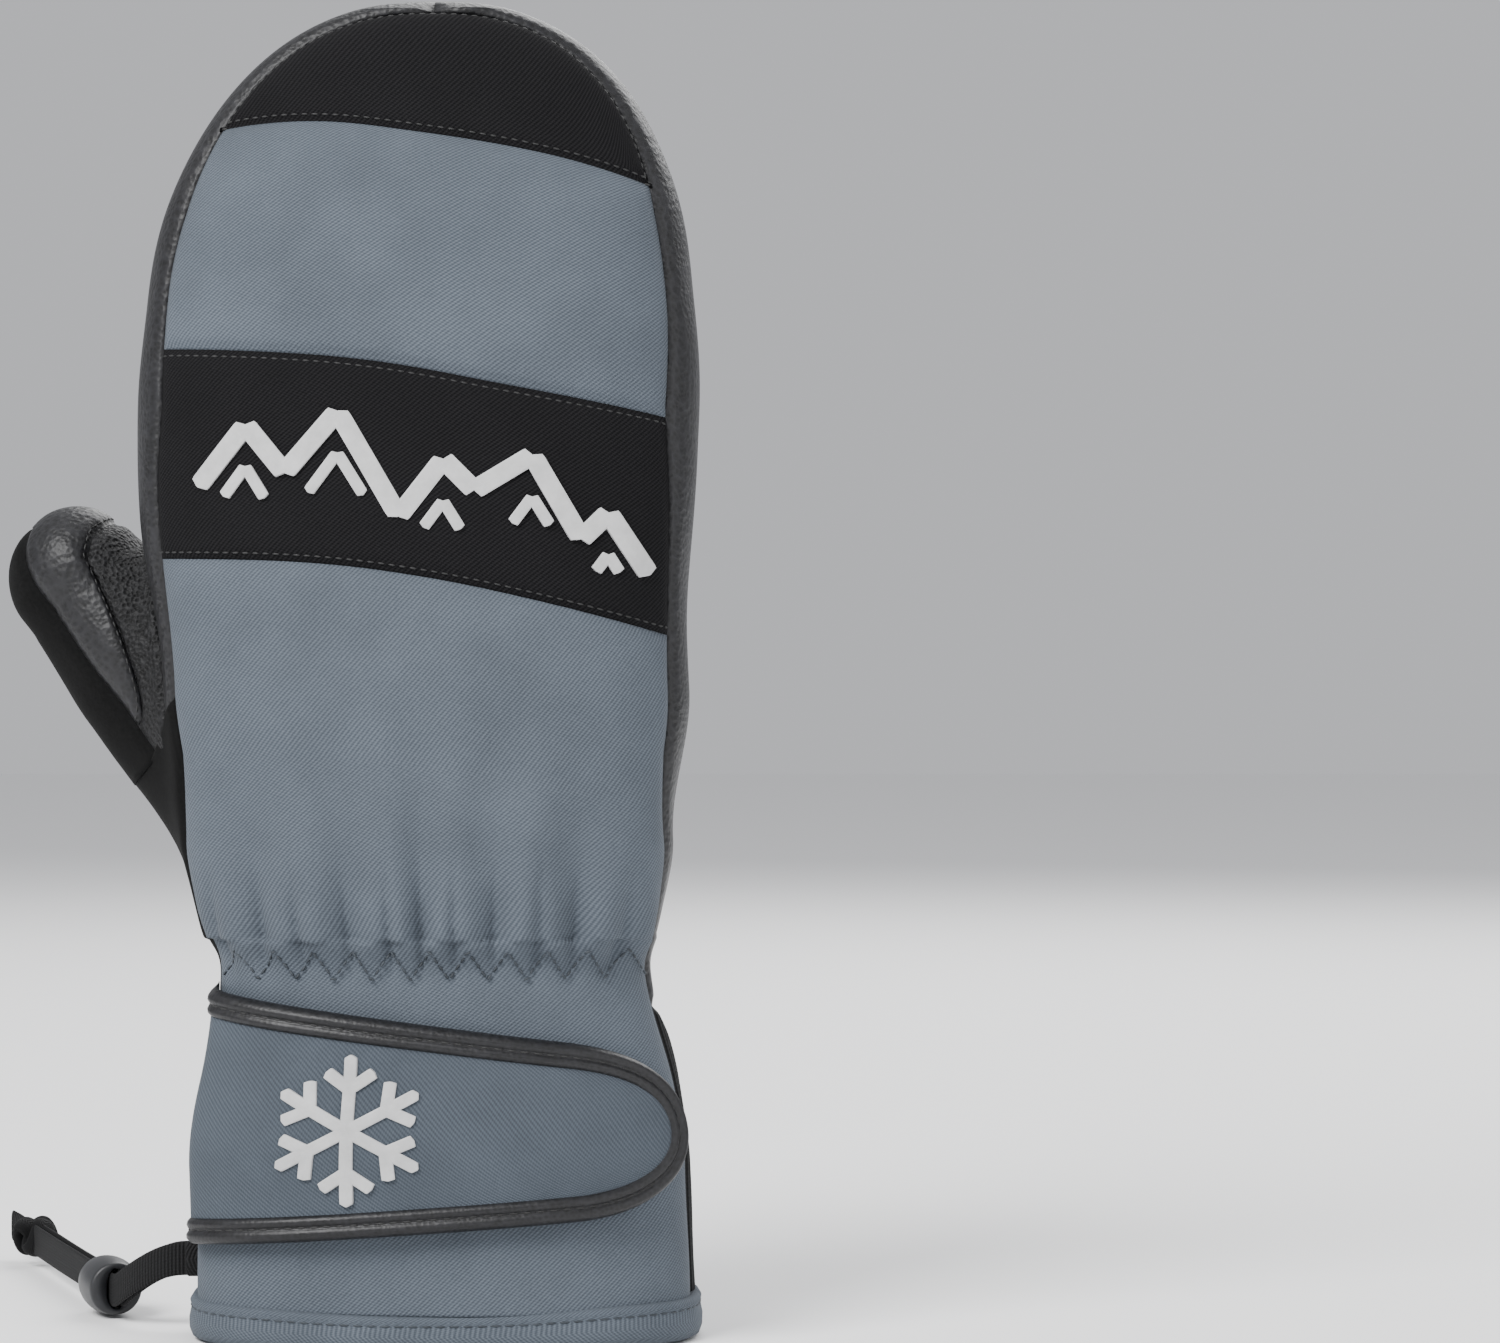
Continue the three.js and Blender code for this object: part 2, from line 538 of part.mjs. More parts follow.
// The knot and the lock are drawn with the leash along their own Y.
const KNOT = { across: 7, along: 8, tall: 7.4, tail: 8 };
const knotBall = new THREE.SphereGeometry(1, 14, 10);
knotBall.scale(KNOT.across, KNOT.along, KNOT.tall);
const tails = block(-2.6, 2.6, KNOT.along - 3, KNOT.along + KNOT.tail, -4, 3.6);
const knot = named("leash_knot", solid(knotBall).add(tails), webbing);
knot.position.copy(leashPoint(LEASH_LENGTH + KNOT.along)).setZ(KNOT.tall + 0.1);
knot.rotation.z = LEASH_HEADING - Math.PI / 2;
hand.add(knot);

// The lock, a barrel with one slot through it for both tapes.
const LOCK = { radius: 6.8, end: 6.1, half: 8.3, from: 34.5, slotRadius: 2.3, slotReach: 2.5 };
const barrelProfile = vectors([
  [0, -LOCK.half],
  [LOCK.end - 0.5, -LOCK.half],
  [LOCK.end, -LOCK.half + 0.6],
  [LOCK.radius, 0],
  [LOCK.end, LOCK.half - 0.6],
  [LOCK.end - 0.5, LOCK.half],
  [0, LOCK.half],
]);
const barrel = solid(new THREE.LatheGeometry(barrelProfile, 24));
const holeShape = new THREE.Shape();
holeShape.absarc(0, LOCK.slotReach, LOCK.slotRadius, 0, Math.PI);
holeShape.absarc(0, -LOCK.slotReach, LOCK.slotRadius, Math.PI, 2 * Math.PI);
const lock = named("cord_lock", barrel.subtract(alongY(holeShape, -15, 15)), lockPlastic);
lock.position.copy(leashPoint(LOCK.from));
lock.rotation.z = LEASH_HEADING - Math.PI / 2;

// ---------- assembly, with the origin under the middle of the mitten ----------
const mitten = new THREE.Group();
mitten.add(hand, thumb, strap, labelFrame, lock);
mitten.updateMatrixWorld(true);
const onLeash = ["leash_strand_upper", "leash_strand_lower", "leash_knot", "cord_lock", "leash_tab"];
const box = new THREE.Box3();
mitten.traverse((o) => {
  if (o.isMesh && !onLeash.includes(o.name)) box.expandByObject(o, true);
});
const middle = box.getCenter(new THREE.Vector3());
mitten.position.set(-middle.x, -middle.y, -box.min.z);

export default mitten;
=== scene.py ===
# Right-hand ski mitten, built over its CAD frame. Shapes are worked out in millimetres with the middle
# of the hem at x = 0, y = 0, and turned into metres in the frame's own place when a mesh is made.
import math

import bpy
import numpy as np
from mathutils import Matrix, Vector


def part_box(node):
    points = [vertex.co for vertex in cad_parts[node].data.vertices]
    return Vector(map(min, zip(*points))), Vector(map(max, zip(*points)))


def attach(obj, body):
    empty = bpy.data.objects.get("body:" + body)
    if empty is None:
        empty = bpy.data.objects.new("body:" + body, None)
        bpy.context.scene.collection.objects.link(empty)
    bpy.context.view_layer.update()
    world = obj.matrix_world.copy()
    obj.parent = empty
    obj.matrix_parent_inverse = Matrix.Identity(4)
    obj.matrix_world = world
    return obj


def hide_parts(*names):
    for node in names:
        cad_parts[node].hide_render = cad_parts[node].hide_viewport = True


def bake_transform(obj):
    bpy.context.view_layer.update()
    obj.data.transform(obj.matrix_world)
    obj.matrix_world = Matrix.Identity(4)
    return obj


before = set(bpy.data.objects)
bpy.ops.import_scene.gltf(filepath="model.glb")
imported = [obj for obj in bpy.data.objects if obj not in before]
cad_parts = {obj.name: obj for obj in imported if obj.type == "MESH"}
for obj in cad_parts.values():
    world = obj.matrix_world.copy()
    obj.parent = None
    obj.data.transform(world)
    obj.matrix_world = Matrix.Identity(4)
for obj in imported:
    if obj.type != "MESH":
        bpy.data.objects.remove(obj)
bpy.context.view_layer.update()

hemLow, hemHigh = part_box("hem_binding")
hemMiddle = np.array([(hemLow[0] + hemHigh[0]) / 2, (hemLow[1] + hemHigh[1]) / 2, 0.0])
print("frame loaded, hem middle at", hemMiddle.round(4))


# ---- the shape of hand, cuff and thumb ----
hand = {
    "height": 310.5,
    "domeStart": 215.0,
    "roundness": 2.5,  # exponent of the section, 2 being an ellipse
    "halfWidth": [(0, 57.6), (40, 57), (88, 49.6), (115, 56.5), (150, 60.5), (205, 64.6), (400, 64.6)],
    "halfDepth": [(0, 33), (40, 31.5), (88, 26.5), (122, 31), (165, 32.5), (215, 30.5), (400, 30.5)],
    "centreX": [(0, 0), (60, -0.8), (88, -2.6), (125, -4.5), (205, -7), (240, -6.2), (310.5, -3), (400, -3)],
    "centreY": [(0, 0), (120, 0), (310.5, 7), (400, 7)],
}
thumb = {
    "line": [(-31, 13, 115), (-57, 18, 139), (-88.5, 20, 176.5)],
    "radius": [(0, 26), (0.35, 23.5), (0.7, 20), (1, 16.2)],
    "flatness": 0.94,
    "jointAt": 0.5,  # share of the line where the thumb leaves its root
    "seamAngle": 212.0,  # softshell begins here on the back of the thumb, and ends at 360
    "palmAngle": 75.0,
}
gather = {"pitch": 8.7, "depth": 3.0, "longDepth": 1.5}


def along(pairs, at):
    # smooth value between (place, value) pairs
    places, values = np.array(pairs, dtype=float).T
    i = np.clip(np.searchsorted(places, at), 1, len(places) - 1)
    t = np.clip((at - places[i - 1]) / (places[i] - places[i - 1]), 0, 1)
    return values[i - 1] + (values[i] - values[i - 1]) * t * t * (3 - 2 * t)


def turns(count):
    # angles evenly round a circle
    return np.linspace(0, 2 * np.pi, count + 1)[:-1]


def signed(value, power):
    # a power that keeps the sign, which squares off a sine or a cosine
    return np.sign(value) * np.abs(value) ** power


def section(z, inset=0.0):
    # middle and half sizes of the hand's section at a height
    t = np.clip((z - hand["domeStart"]) / (hand["height"] - inset - hand["domeStart"]), 0, 1)
    a = (along(hand["halfWidth"], z) - inset) * (1 - t ** 2.5) ** (1 / 2.2)
    b = (along(hand["halfDepth"], z) - inset) * (1 - t ** 2.3) ** (1 / 2.3)
    return along(hand["centreX"], z), along(hand["centreY"], z), np.maximum(a, 1e-3), np.maximum(b, 1e-3)


def ringPoint(angle, z, inset=0.0):
    # point on the section: angle 0 is +X, 90 degrees +Y; sine and cosine raised to 2 / roundness
    xc, yc, a, b = section(z, inset)
    power = 2 / hand["roundness"]
    x, y = xc + a * signed(np.cos(angle), power), yc + b * signed(np.sin(angle), power)
    return np.stack(np.broadcast_arrays(x, y, z * 1.0), -1)


def heightOver(x, z, side):
    # y of the surface over a point of x and z, on the palm (side 1) or the back (side -1)
    xc, yc, a, b = section(z)
    n = hand["roundness"]
    q = np.clip(np.abs(x - xc) / a, 0, 1)
    return yc + side * b * (1 - q ** n) ** (1 / n)


def edgeX(z, side, y):
    # x at which the surface passes a depth y, on the side of the little finger (1) or the thumb (-1)
    xc, yc, a, b = section(z)
    n = hand["roundness"]
    q = np.clip(np.abs(y - yc) / b, 0, 1)
    return xc + side * a * (1 - q ** n) ** (1 / n)


def onSide(flat, side):
    # x and z lifted onto the palm (side 1) or the back (side -1)
    return np.stack([flat[..., 0], heightOver(flat[..., 0], flat[..., 1], side), flat[..., 1]], -1)


def unit(v):
    return v / np.maximum(np.linalg.norm(v, axis=-1, keepdims=True), 1e-9)


def thumbLine(t):
    # the quadratic curve through the thumb, and its direction
    p0, p1, p2 = (np.array(p, dtype=float) for p in thumb["line"])
    t = np.asarray(t, dtype=float)[..., None]
    place = (1 - t) ** 2 * p0 + 2 * t * (1 - t) * p1 + t ** 2 * p2
    return place, unit((1 - t) * (p1 - p0) + t * (p2 - p1))


ballPlaces, _ = thumbLine(np.linspace(0, 1, 64))
ballRadii = along(thumb["radius"], np.linspace(0, 1, 64))
squeeze = np.array([1, 1 / thumb["flatness"], 1])


def shapeField(p):
    # rough distance outside hand and thumb together, with the two run softly into each other
    xc, yc, a, b = section(p[..., 2])
    dx, dy, n = p[..., 0] - xc, p[..., 1] - yc, hand["roundness"]
    f = ((np.abs(dx) / a) ** n + (np.abs(dy) / b) ** n) ** (1 / n)
    toHand = np.hypot(dx, dy) * (1 - 1 / np.maximum(f, 1e-3))
    toThumb = np.full(toHand.shape, 1e3)
    for place, radius in zip(ballPlaces, ballRadii):
        toThumb = np.minimum(toThumb, np.linalg.norm((p - place) * squeeze, axis=-1) - radius)
    blend = 3.0
    low = np.minimum(toHand, toThumb)
    return low - blend * np.log(np.exp((low - toHand) / blend) + np.exp((low - toThumb) / blend))


def outward(start, way, near, far):
    # the place on a ray where the field is nought, by halving the interval
    near, far = np.broadcast_to(near, start.shape[:-1]).copy(), np.broadcast_to(far, start.shape[:-1]).copy()
    for _ in range(13):
        middle = (near + far) / 2
        inside = shapeField(start + way * middle[..., None]) < 0
        near, far = np.where(inside, middle, near), np.where(inside, far, middle)
    return start + way * ((near + far) / 2)[..., None]


def thumbPoint(s, angle):
    # s runs 0.5 to 1 along the line and on to 2 over the domed tip; angle 0 faces the palm, 90 the forefinger
    t = np.minimum(s, 1)
    centre, way = thumbLine(t)
    acrossWay = np.array([0.0, 1.0, 0.0])
    up = unit(np.cross(acrossWay, way))
    radius = along(thumb["radius"], t)
    bend = np.clip(s - 1, 0, 1) * np.pi / 2
    middle = centre + way * (radius * np.sin(bend))[..., None]
    spoke = up * np.sin(angle)[..., None] + acrossWay * (thumb["flatness"] * np.cos(angle))[..., None]
    place = middle + spoke * (radius * np.cos(bend))[..., None]
    lower = outward(middle, spoke, radius - 1, radius + 3.5)
    return np.where((s < 0.95)[..., None], lower, place)


def smoothLine(points, count):
    # a smooth curve through a few points, sampled evenly by length
    p = np.array(points, dtype=float)
    padded = np.vstack([2 * p[0] - p[1], p, 2 * p[-1] - p[-2]])
    t = np.linspace(0, len(p) - 1, 40 * len(p))
    i = np.minimum(t.astype(int), len(p) - 2)
    f = (t - i)[:, None]
    a, b, c, d = padded[i], padded[i + 1], padded[i + 2], padded[i + 3]
    line = 0.5 * (2 * b + (c - a) * f + (2 * a - 5 * b + 4 * c - d) * f ** 2 + (3 * b - a - 3 * c + d) * f ** 3)
    return evenly(line, count)


def evenly(line, count):
    gone = np.concatenate([[0], np.cumsum(np.linalg.norm(np.diff(line, axis=0), axis=1))])
    at = np.linspace(0, gone[-1], count)
    return np.stack([np.interp(at, gone, line[:, k]) for k in range(line.shape[1])], -1)


def coons(bottom, top, left, right):
    # a patch filled between four border lines: the two ruled fills less the one between the corners
    u = np.linspace(0, 1, len(bottom))[None, :, None]
    v = np.linspace(0, 1, len(left))[:, None, None]
    ruled = (1 - v) * bottom[None] + v * top[None] + (1 - u) * left[:, None] + u * right[:, None]
    corners = (1 - v) * ((1 - u) * bottom[0] + u * bottom[-1]) + v * ((1 - u) * top[0] + u * top[-1])
    return ruled - corners


# ---- seams ----
cuff = {"foot": 8.4, "top": 76.3, "seamDepth": 5.0}  # heights of its panels, and how far back the side seams lie
backSeams = {
    "tip": [(-75, 278), (-34, 280.7), (-6, 278), (26, 272.5), (53, 265), (75, 258)],
    "bandTop": [(-80, 229), (-22.6, 225.6), (17, 219), (56, 211.6), (80, 206)],
    "bandFoot": [(-80, 180), (-34, 179), (-4, 175.6), (26, 169.3), (55, 161.6), (80, 154)],
}
backEdge = [(-5, 0), (-5, 100), (-13, 135), (-13, 215), (-9, 260), (-3, 300), (0, 330)]
palmEdge = [(18, 60), (18, 225), (20, 265), (17, 300), (13, 330)]
palmSeams = {
    "thumbRoot": [(-18, 94), (-13, 106), (-10, 122), (-10.5, 138), (-15, 152), (-26, 162), (-38, 169)],
    "patch": [(-38, 169), (-41, 178), (-44.5, 192), (-46.5, 208), (-49.5, 215), (-56, 219.5), (-67.5, 221)],
}


def edgeY(edge, z):
    y, zs = np.array(edge, dtype=float).T
    return np.interp(z, zs, y)


def seamZ(name, x):
    line = smoothLine(backSeams[name], 300)
    return np.interp(x, line[:, 0], line[:, 1])


def edgeAt(edge, side, z):
    # x of a panel's edge at a height
    return edgeX(z, side, edgeY(edge, z))


def seamEnd(name, side):
    # the height at which a seam reaches the panel's edge
    z = seamZ(name, side * 60.0)
    for _ in range(30):
        z = seamZ(name, edgeAt(backEdge, side, z))
    return float(z)


def acrossBack(name, left, right, count):
    # a seam of the back, or the hem, between two heights on the panel's edges, in x and z
    x = np.linspace(edgeAt(backEdge, -1, left), edgeAt(backEdge, 1, right), count)
    return np.stack([x, np.full(count, cuff["foot"]) if name == "hem" else seamZ(name, x)], -1)


def edgeLine(edge, side, low, high, count):
    z = np.linspace(low, high, 200)
    return evenly(np.stack([edgeAt(edge, side, z), z], -1), count)


def overTheTop(edge, leftLow, rightLow, count):
    # the panel's edge from one side over the fingertip to the other, in x and z
    z = np.linspace(leftLow, hand["height"], 4000)
    _, yc, _, b = section(z)
    top = z[np.abs(edgeY(edge, z) - yc) < b].max()
    rise = np.sin(np.linspace(0, np.pi / 2, 300))
    up, down = leftLow + (top - leftLow) * rise, (rightLow + (top - rightLow) * rise)[::-1]
    return evenly(np.vstack([np.stack([edgeAt(edge, side, z), z], -1) for side, z in ((-1, up), (1, down))]), count)


# ---- meshes ----
def gridNormals(p):
    return unit(np.cross(np.gradient(p, axis=1), np.gradient(p, axis=0)))


def edgeLengths(p):
    # distances in millimetres from each of a grid's four edges: first and last column, first and last row
    across = np.linalg.norm(np.diff(p, axis=1), axis=-1)
    upward = np.linalg.norm(np.diff(p, axis=0), axis=-1)
    fromLeft = np.concatenate([np.zeros((p.shape[0], 1)), np.cumsum(across, 1)], 1)
    fromFoot = np.concatenate([np.zeros((1, p.shape[1])), np.cumsum(upward, 0)], 0)
    return fromLeft, fromLeft[:, -1:] - fromLeft, fromFoot, fromFoot[-1:] - fromFoot


def insetLine(p, edge, distance):
    # the line that lies a distance inside one edge of a grid; edge 0 to 3 as edgeLengths gives them
    if edge == 1:
        p = p[:, ::-1]
    if edge == 3:
        p = p[::-1]
    if edge >= 2:
        p = np.swapaxes(p, 0, 1)
    gone = edgeLengths(p)[0]
    i = np.clip((gone < distance).sum(1), 1, p.shape[1] - 1)
    row = np.arange(p.shape[0])
    f = np.clip((distance - gone[row, i - 1]) / np.maximum(gone[row, i] - gone[row, i - 1], 1e-6), 0, 1)[:, None]
    return p[row, i - 1] * (1 - f) + p[row, i] * f


def linked(name, data):
    thing = bpy.data.objects.new(name, data)
    bpy.context.scene.collection.objects.link(thing)
    return thing


def meshObject(name, places, faces, material, uv=None, smooth=True):
    mesh = bpy.data.meshes.new(name)
    world = np.asarray(places).reshape(-1, 3) / 1000 + hemMiddle
    mesh.from_pydata(world.tolist(), [], faces if isinstance(faces, list) else faces.tolist())
    if uv is not None:
        layer = mesh.uv_layers.new(name="UVMap")
        corners = np.empty(len(mesh.loops), dtype=np.int32)
        mesh.loops.foreach_get("vertex_index", corners)
        layer.data.foreach_set("uv", np.asarray(uv).reshape(-1, 2)[corners].astype(np.float32).ravel())
    mesh.polygons.foreach_set("use_smooth", [smooth] * len(mesh.polygons))
    mesh.materials.append(material)
    mesh.update()
    return linked(name, mesh)


def gridFaces(rows, columns, closedRows=False, closedColumns=False):
    i = np.arange(rows if closedRows else rows - 1)[:, None]
    j = np.arange(columns if closedColumns else columns - 1)[None]
    k, m = (i + 1) % rows, (j + 1) % columns
    quads = np.stack([i * columns + j, i * columns + m, k * columns + m, k * columns + j], -1)
    return quads.reshape(-1, 4)


def gridObject(name, p, material, closedRows=False, closedColumns=False, wall=0.0, flip=False, flat=None):
    # a grid of points as a mesh, its UV in metres along and up the grid, or along flat, the unfolded grid
    fromLeft, _, fromFoot, _ = edgeLengths(p if flat is None else flat)
    uv = np.stack([fromLeft, fromFoot], -1) / 1000
    faces = gridFaces(p.shape[0], p.shape[1], closedRows, closedColumns)
    piece = meshObject(name, p, faces[:, ::-1] if flip else faces, material, uv)
    if wall:
        solid = piece.modifiers.new("wall", "SOLIDIFY")
        solid.thickness, solid.offset = wall / 1000, -1
    return piece


def cappedTube(name, p, material, uv=None, flip=False):
    # a tube of rings, each a row of the grid, closed with a flat face at both ends
    rows, columns = p.shape[:2]
    faces = gridFaces(rows, columns, closedColumns=True)
    ends = [list(range(columns - 1, -1, -1)), list(range(columns * (rows - 1), columns * rows))]
    faces, ends = (faces[:, ::-1], [e[::-1] for e in ends]) if flip else (faces, ends)
    if uv is None:
        fromLeft, _, fromFoot, _ = edgeLengths(p)
        uv = np.stack([fromLeft, fromFoot], -1) / 1000
    return meshObject(name, p, faces.tolist() + ends, material, uv)


def stitches(name, line, body, lift, pitch=2.3, length=1.6, radius=0.26, color="thread"):
    # thread showing along a line: one small spindle for each stitch, six-sided and five rings long
    total = np.linalg.norm(np.diff(line, axis=0), axis=1).sum()
    count = max(2, int(total / pitch))
    fine = evenly(line, count * 4 + 1)
    centre, way = fine[2::4], unit(fine[3::4] - fine[1::4])
    sideways = unit(np.cross(way, np.broadcast_to(lift, centre.shape)))
    upward = np.cross(sideways, way)
    station = np.linspace(-1, 1, 5)
    girth = np.sqrt(np.clip(1.05 - station ** 2, 0.05, 1))
    angle = np.arange(6) * np.pi / 3
    ring = sideways[:, None, None] * np.cos(angle)[:, None] + upward[:, None, None] * np.sin(angle)[:, None]
    ring = ring * (radius * girth)[:, None, None]
    places = centre[:, None, None] + way[:, None, None] * (station * length / 2)[:, None, None] + ring
    faces = gridFaces(5, 6, closedColumns=True)
    ends = [[5, 4, 3, 2, 1, 0], [24, 25, 26, 27, 28, 29]]
    many = (faces[None] + (np.arange(count) * 30)[:, None, None]).reshape(-1, 4).tolist()
    many += [[i + 30 * k for i in end] for k in range(count) for end in ends]
    rideOn(meshObject(name, places, many, materials[color]), body)


# ---- materials ----
materials = {}


class Graph:
    # a material and the nodes that it is made of
    def __init__(self, name, roughness, sheen=0.0, specular=0.5):
        material = bpy.data.materials.new(name)
        material.use_nodes = True
        self.tree = material.node_tree
        self.shader = self.tree.nodes["Principled BSDF"]
        self.shade({"Roughness": roughness, "Sheen Weight": sheen, "Sheen Roughness": 0.5,
                    "Specular IOR Level": specular})
        materials[name] = material

    def feed(self, node, values):
        # give a node's inputs their values, or link them to the outputs that drive them
        for key, value in values.items():
            if isinstance(value, bpy.types.NodeSocket):
                self.tree.links.new(value, node.inputs[key])
            else:
                node.inputs[key].default_value = value

    def shade(self, values):
        self.feed(self.shader, values)

    def add(self, kind, output, values, **settings):
        node = self.tree.nodes.new("ShaderNode" + kind)
        for key, value in settings.items():
            setattr(node, key, value)
        self.feed(node, values)
        return node.outputs[output]

    def place(self, source="UV", turn=0.0):
        where = self.add("TexCoord", source, {})
        return self.add("Mapping", "Vector", {"Vector": where, "Rotation": (0, 0, math.radians(turn))})

    def noise(self, vector, size, detail=3.0, roughness=0.55):
        # noise whose features are about size metres across
        values = {"Vector": vector, "Scale": 1 / size, "Detail": detail, "Roughness": roughness}
        return self.add("TexNoise", "Fac", values)

    def bands(self, vector, pitch, direction, distortion):
        # a wave texture repeats every 0.314 / scale
        values = {"Vector": vector, "Scale": 0.31416 / pitch, "Distortion": distortion, "Detail": 1.0,
                  "Detail Scale": 2.0}
        return self.add("TexWave", "Fac", values, bands_direction=direction)

    def cells(self, vector, size):
        values = {"Vector": vector, "Scale": 1 / size, "Smoothness": 0.35}
        return self.add("TexVoronoi", "Distance", values, feature="SMOOTH_F1")

    def mixed(self, a, b, share):
        rest = self.add("Math", 0, {0: a, 1: 1 - share}, operation="MULTIPLY")
        return self.add("Math", 0, {0: b, 1: share, 2: rest}, operation="MULTIPLY_ADD")

    def ramp(self, factor, dark, light, low, high):
        color = self.add("ValToRGB", "Color", {"Fac": factor})
        for element, at, tone in zip(color.node.color_ramp.elements, (low, high), (dark, light)):
            element.position, element.color = at, (*tone, 1)
        return color

    def tinted(self, color, factor, low, high):
        # lightens and darkens a colour by a factor of 0 to 1
        values = {"Value": factor, "From Min": 0.3, "From Max": 0.7, "To Min": low, "To Max": high}
        return self.add("HueSaturation", "Color", {"Color": color, "Value": self.add("MapRange", "Result", values)})

    def roughen(self, factor, low, high):
        self.shade({"Roughness": self.add("MapRange", "Result", {"Value": factor, "To Min": low, "To Max": high})})

    def bump(self, height, depth, strength):
        # depth in metres
        values = {"Height": height, "Distance": depth, "Strength": strength}
        self.shade({"Normal": self.add("Bump", "Normal", values)})


def gray(level):
    return (level, level, level)


def twill(name, dark, light, turn, roughness, sheen, specular=0.25):
    # diagonal ridges every 0.8 mm, crossed by fine yarns, in a slightly mottled colour
    g = Graph(name, roughness, sheen, specular)
    place = g.place("UV", turn)
    weave = g.mixed(g.bands(place, 0.0008, "X", 0.35), g.bands(g.place("UV", turn + 62), 0.0006, "X", 1.2), 0.3)
    color = g.ramp(g.mixed(weave, g.noise(place, 0.0007, 2), 0.35), dark, light, 0.2, 0.85)
    g.shade({"Base Color": g.tinted(color, g.noise(g.place("Object"), 0.02, 4), 0.9, 1.1)})
    g.bump(weave, 0.00016, 0.7)


def grained(name, dark, light, grain, depth, roughness, specular, creased=0.4):
    # leather: rounded cells of one size with broader creases, worn a little lighter in patches
    g = Graph(name, roughness, 0.0, specular)
    place = g.place("Object")
    creases = g.noise(place, grain * 3, 5, 0.65)
    height = g.mixed(g.cells(place, grain), creases, creased)
    color = g.ramp(height, dark, light, 0.2, 0.7)
    g.shade({"Base Color": g.tinted(color, g.noise(place, 0.03, 4), 0.82, 1.2)})
    g.roughen(creases, roughness - 0.1, roughness + 0.12)
    g.bump(height, depth, 0.9)


def ribbed(name, dark, light, pitch, direction, depth, roughness=0.9):
    # knit or woven tape: ribs at one pitch, broken by a finer cross thread
    g = Graph(name, roughness, 0.0, 0.2)
    place = g.place("UV")
    cross = g.bands(place, pitch * 0.8, "Y" if direction == "X" else "X", 0.6)
    height = g.mixed(g.bands(place, pitch, direction, 0.15), cross, 0.22)
    g.shade({"Base Color": g.ramp(g.mixed(height, g.noise(place, 0.0006, 2), 0.3), dark, light, 0.2, 0.8)})
    g.bump(height, depth, 0.9)


def napped(name, dark, light, size, depth, sheen, roughness=0.95):
    # a soft face without a visible weave
    g = Graph(name, roughness, sheen, 0.15)
    place = g.place("Object")
    fuzz = g.noise(place, size, 6, 0.7)
    color = g.ramp(fuzz, dark, light, 0.35, 0.68)
    g.shade({"Base Color": g.tinted(color, g.noise(place, 0.025, 3), 0.9, 1.12)})
    g.bump(fuzz, depth, 0.8)


def moulded(name, dark, light, roughness):
    # satin plastic with a faint mould texture and scuffs
    g = Graph(name, roughness)
    place = g.place("Object")
    scuffs = g.noise(place, 0.006, 6, 0.7)
    g.shade({"Base Color": g.ramp(scuffs, dark, light, 0.35, 0.75)})
    g.roughen(scuffs, roughness - 0.08, roughness + 0.14)
    g.bump(g.noise(place, 0.0004), 0.00004, 0.5)


twill("blueTwill", (0.045, 0.055, 0.069), (0.107, 0.126, 0.15), 45, 0.85, 0.03)
twill("strapTwill", (0.037, 0.045, 0.057), (0.074, 0.09, 0.109), -48, 0.85, 0.03)
twill("blackTwill", (0.002, 0.002, 0.0025), (0.0125, 0.012, 0.013), 45, 0.9, 0.0, 0.12)
grained("leather", gray(0.0035), (0.0135, 0.0135, 0.0155), 0.0013, 0.00035, 0.46, 0.35)
grained("pebbled", gray(0.002), (0.012, 0.012, 0.013), 0.0010, 0.0009, 0.6, 0.25, 0.12)
grained("bindingLeather", gray(0.004), (0.014, 0.014, 0.016), 0.0009, 0.00012, 0.42, 0.35)
napped("softshell", gray(0.002), gray(0.006), 0.0008, 0.0001, 0.0)
napped("fleece", gray(0.010), gray(0.03), 0.0016, 0.0009, 0.2)
napped("wadding", gray(0.55), gray(0.8), 0.003, 0.001, 0.2)
napped("hookAndLoop", gray(0.008), gray(0.03), 0.0007, 0.0006, 0.0)
ribbed("ribKnit", gray(0.002), (0.014, 0.014, 0.015), 0.0014, "X", 0.0005)
ribbed("webbing", gray(0.003), (0.014, 0.014, 0.015), 0.0009, "Y", 0.00025, 0.8)
ribbed("elastic", gray(0.6), gray(0.8), 0.0012, "Y", 0.0003)
moulded("clipPlastic", gray(0.018), gray(0.04), 0.38)
moulded("lockPlastic", (0.007, 0.0075, 0.009), (0.02, 0.021, 0.024), 0.42)
moulded("lightPrint", gray(0.42), gray(0.55), 0.5)
moulded("thread", gray(0.008), gray(0.022), 0.6)
moulded("blueThread", (0.014, 0.019, 0.025), (0.04, 0.05, 0.062), 0.6)
print("materials made:", len(materials))


def rideOn(piece, body):
    # body is one of the frame's, or "thumbRoot" or "strapRoot" for what crosses the joint of thumb or strap
    if body == "thumbRoot":
        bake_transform(piece)
    elif body == "strapRoot":
        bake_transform(piece)
    else:
        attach(piece, body)


def place(piece, body, slot, *nodes):
    rideOn(piece, body)
    if nodes:
        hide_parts(*nodes)
    return piece


# ---- camera, light and floor ----
view = {"place": (70.5, -1100, 154), "lens": 113.5}
camera = linked("camera", bpy.data.cameras.new("camera"))
camera.data.lens, camera.data.sensor_width = view["lens"], 36
camera.location = np.array(view["place"]) / 1000 + hemMiddle
camera.rotation_euler = (math.radians(90), 0, 0)
bpy.context.scene.camera = camera

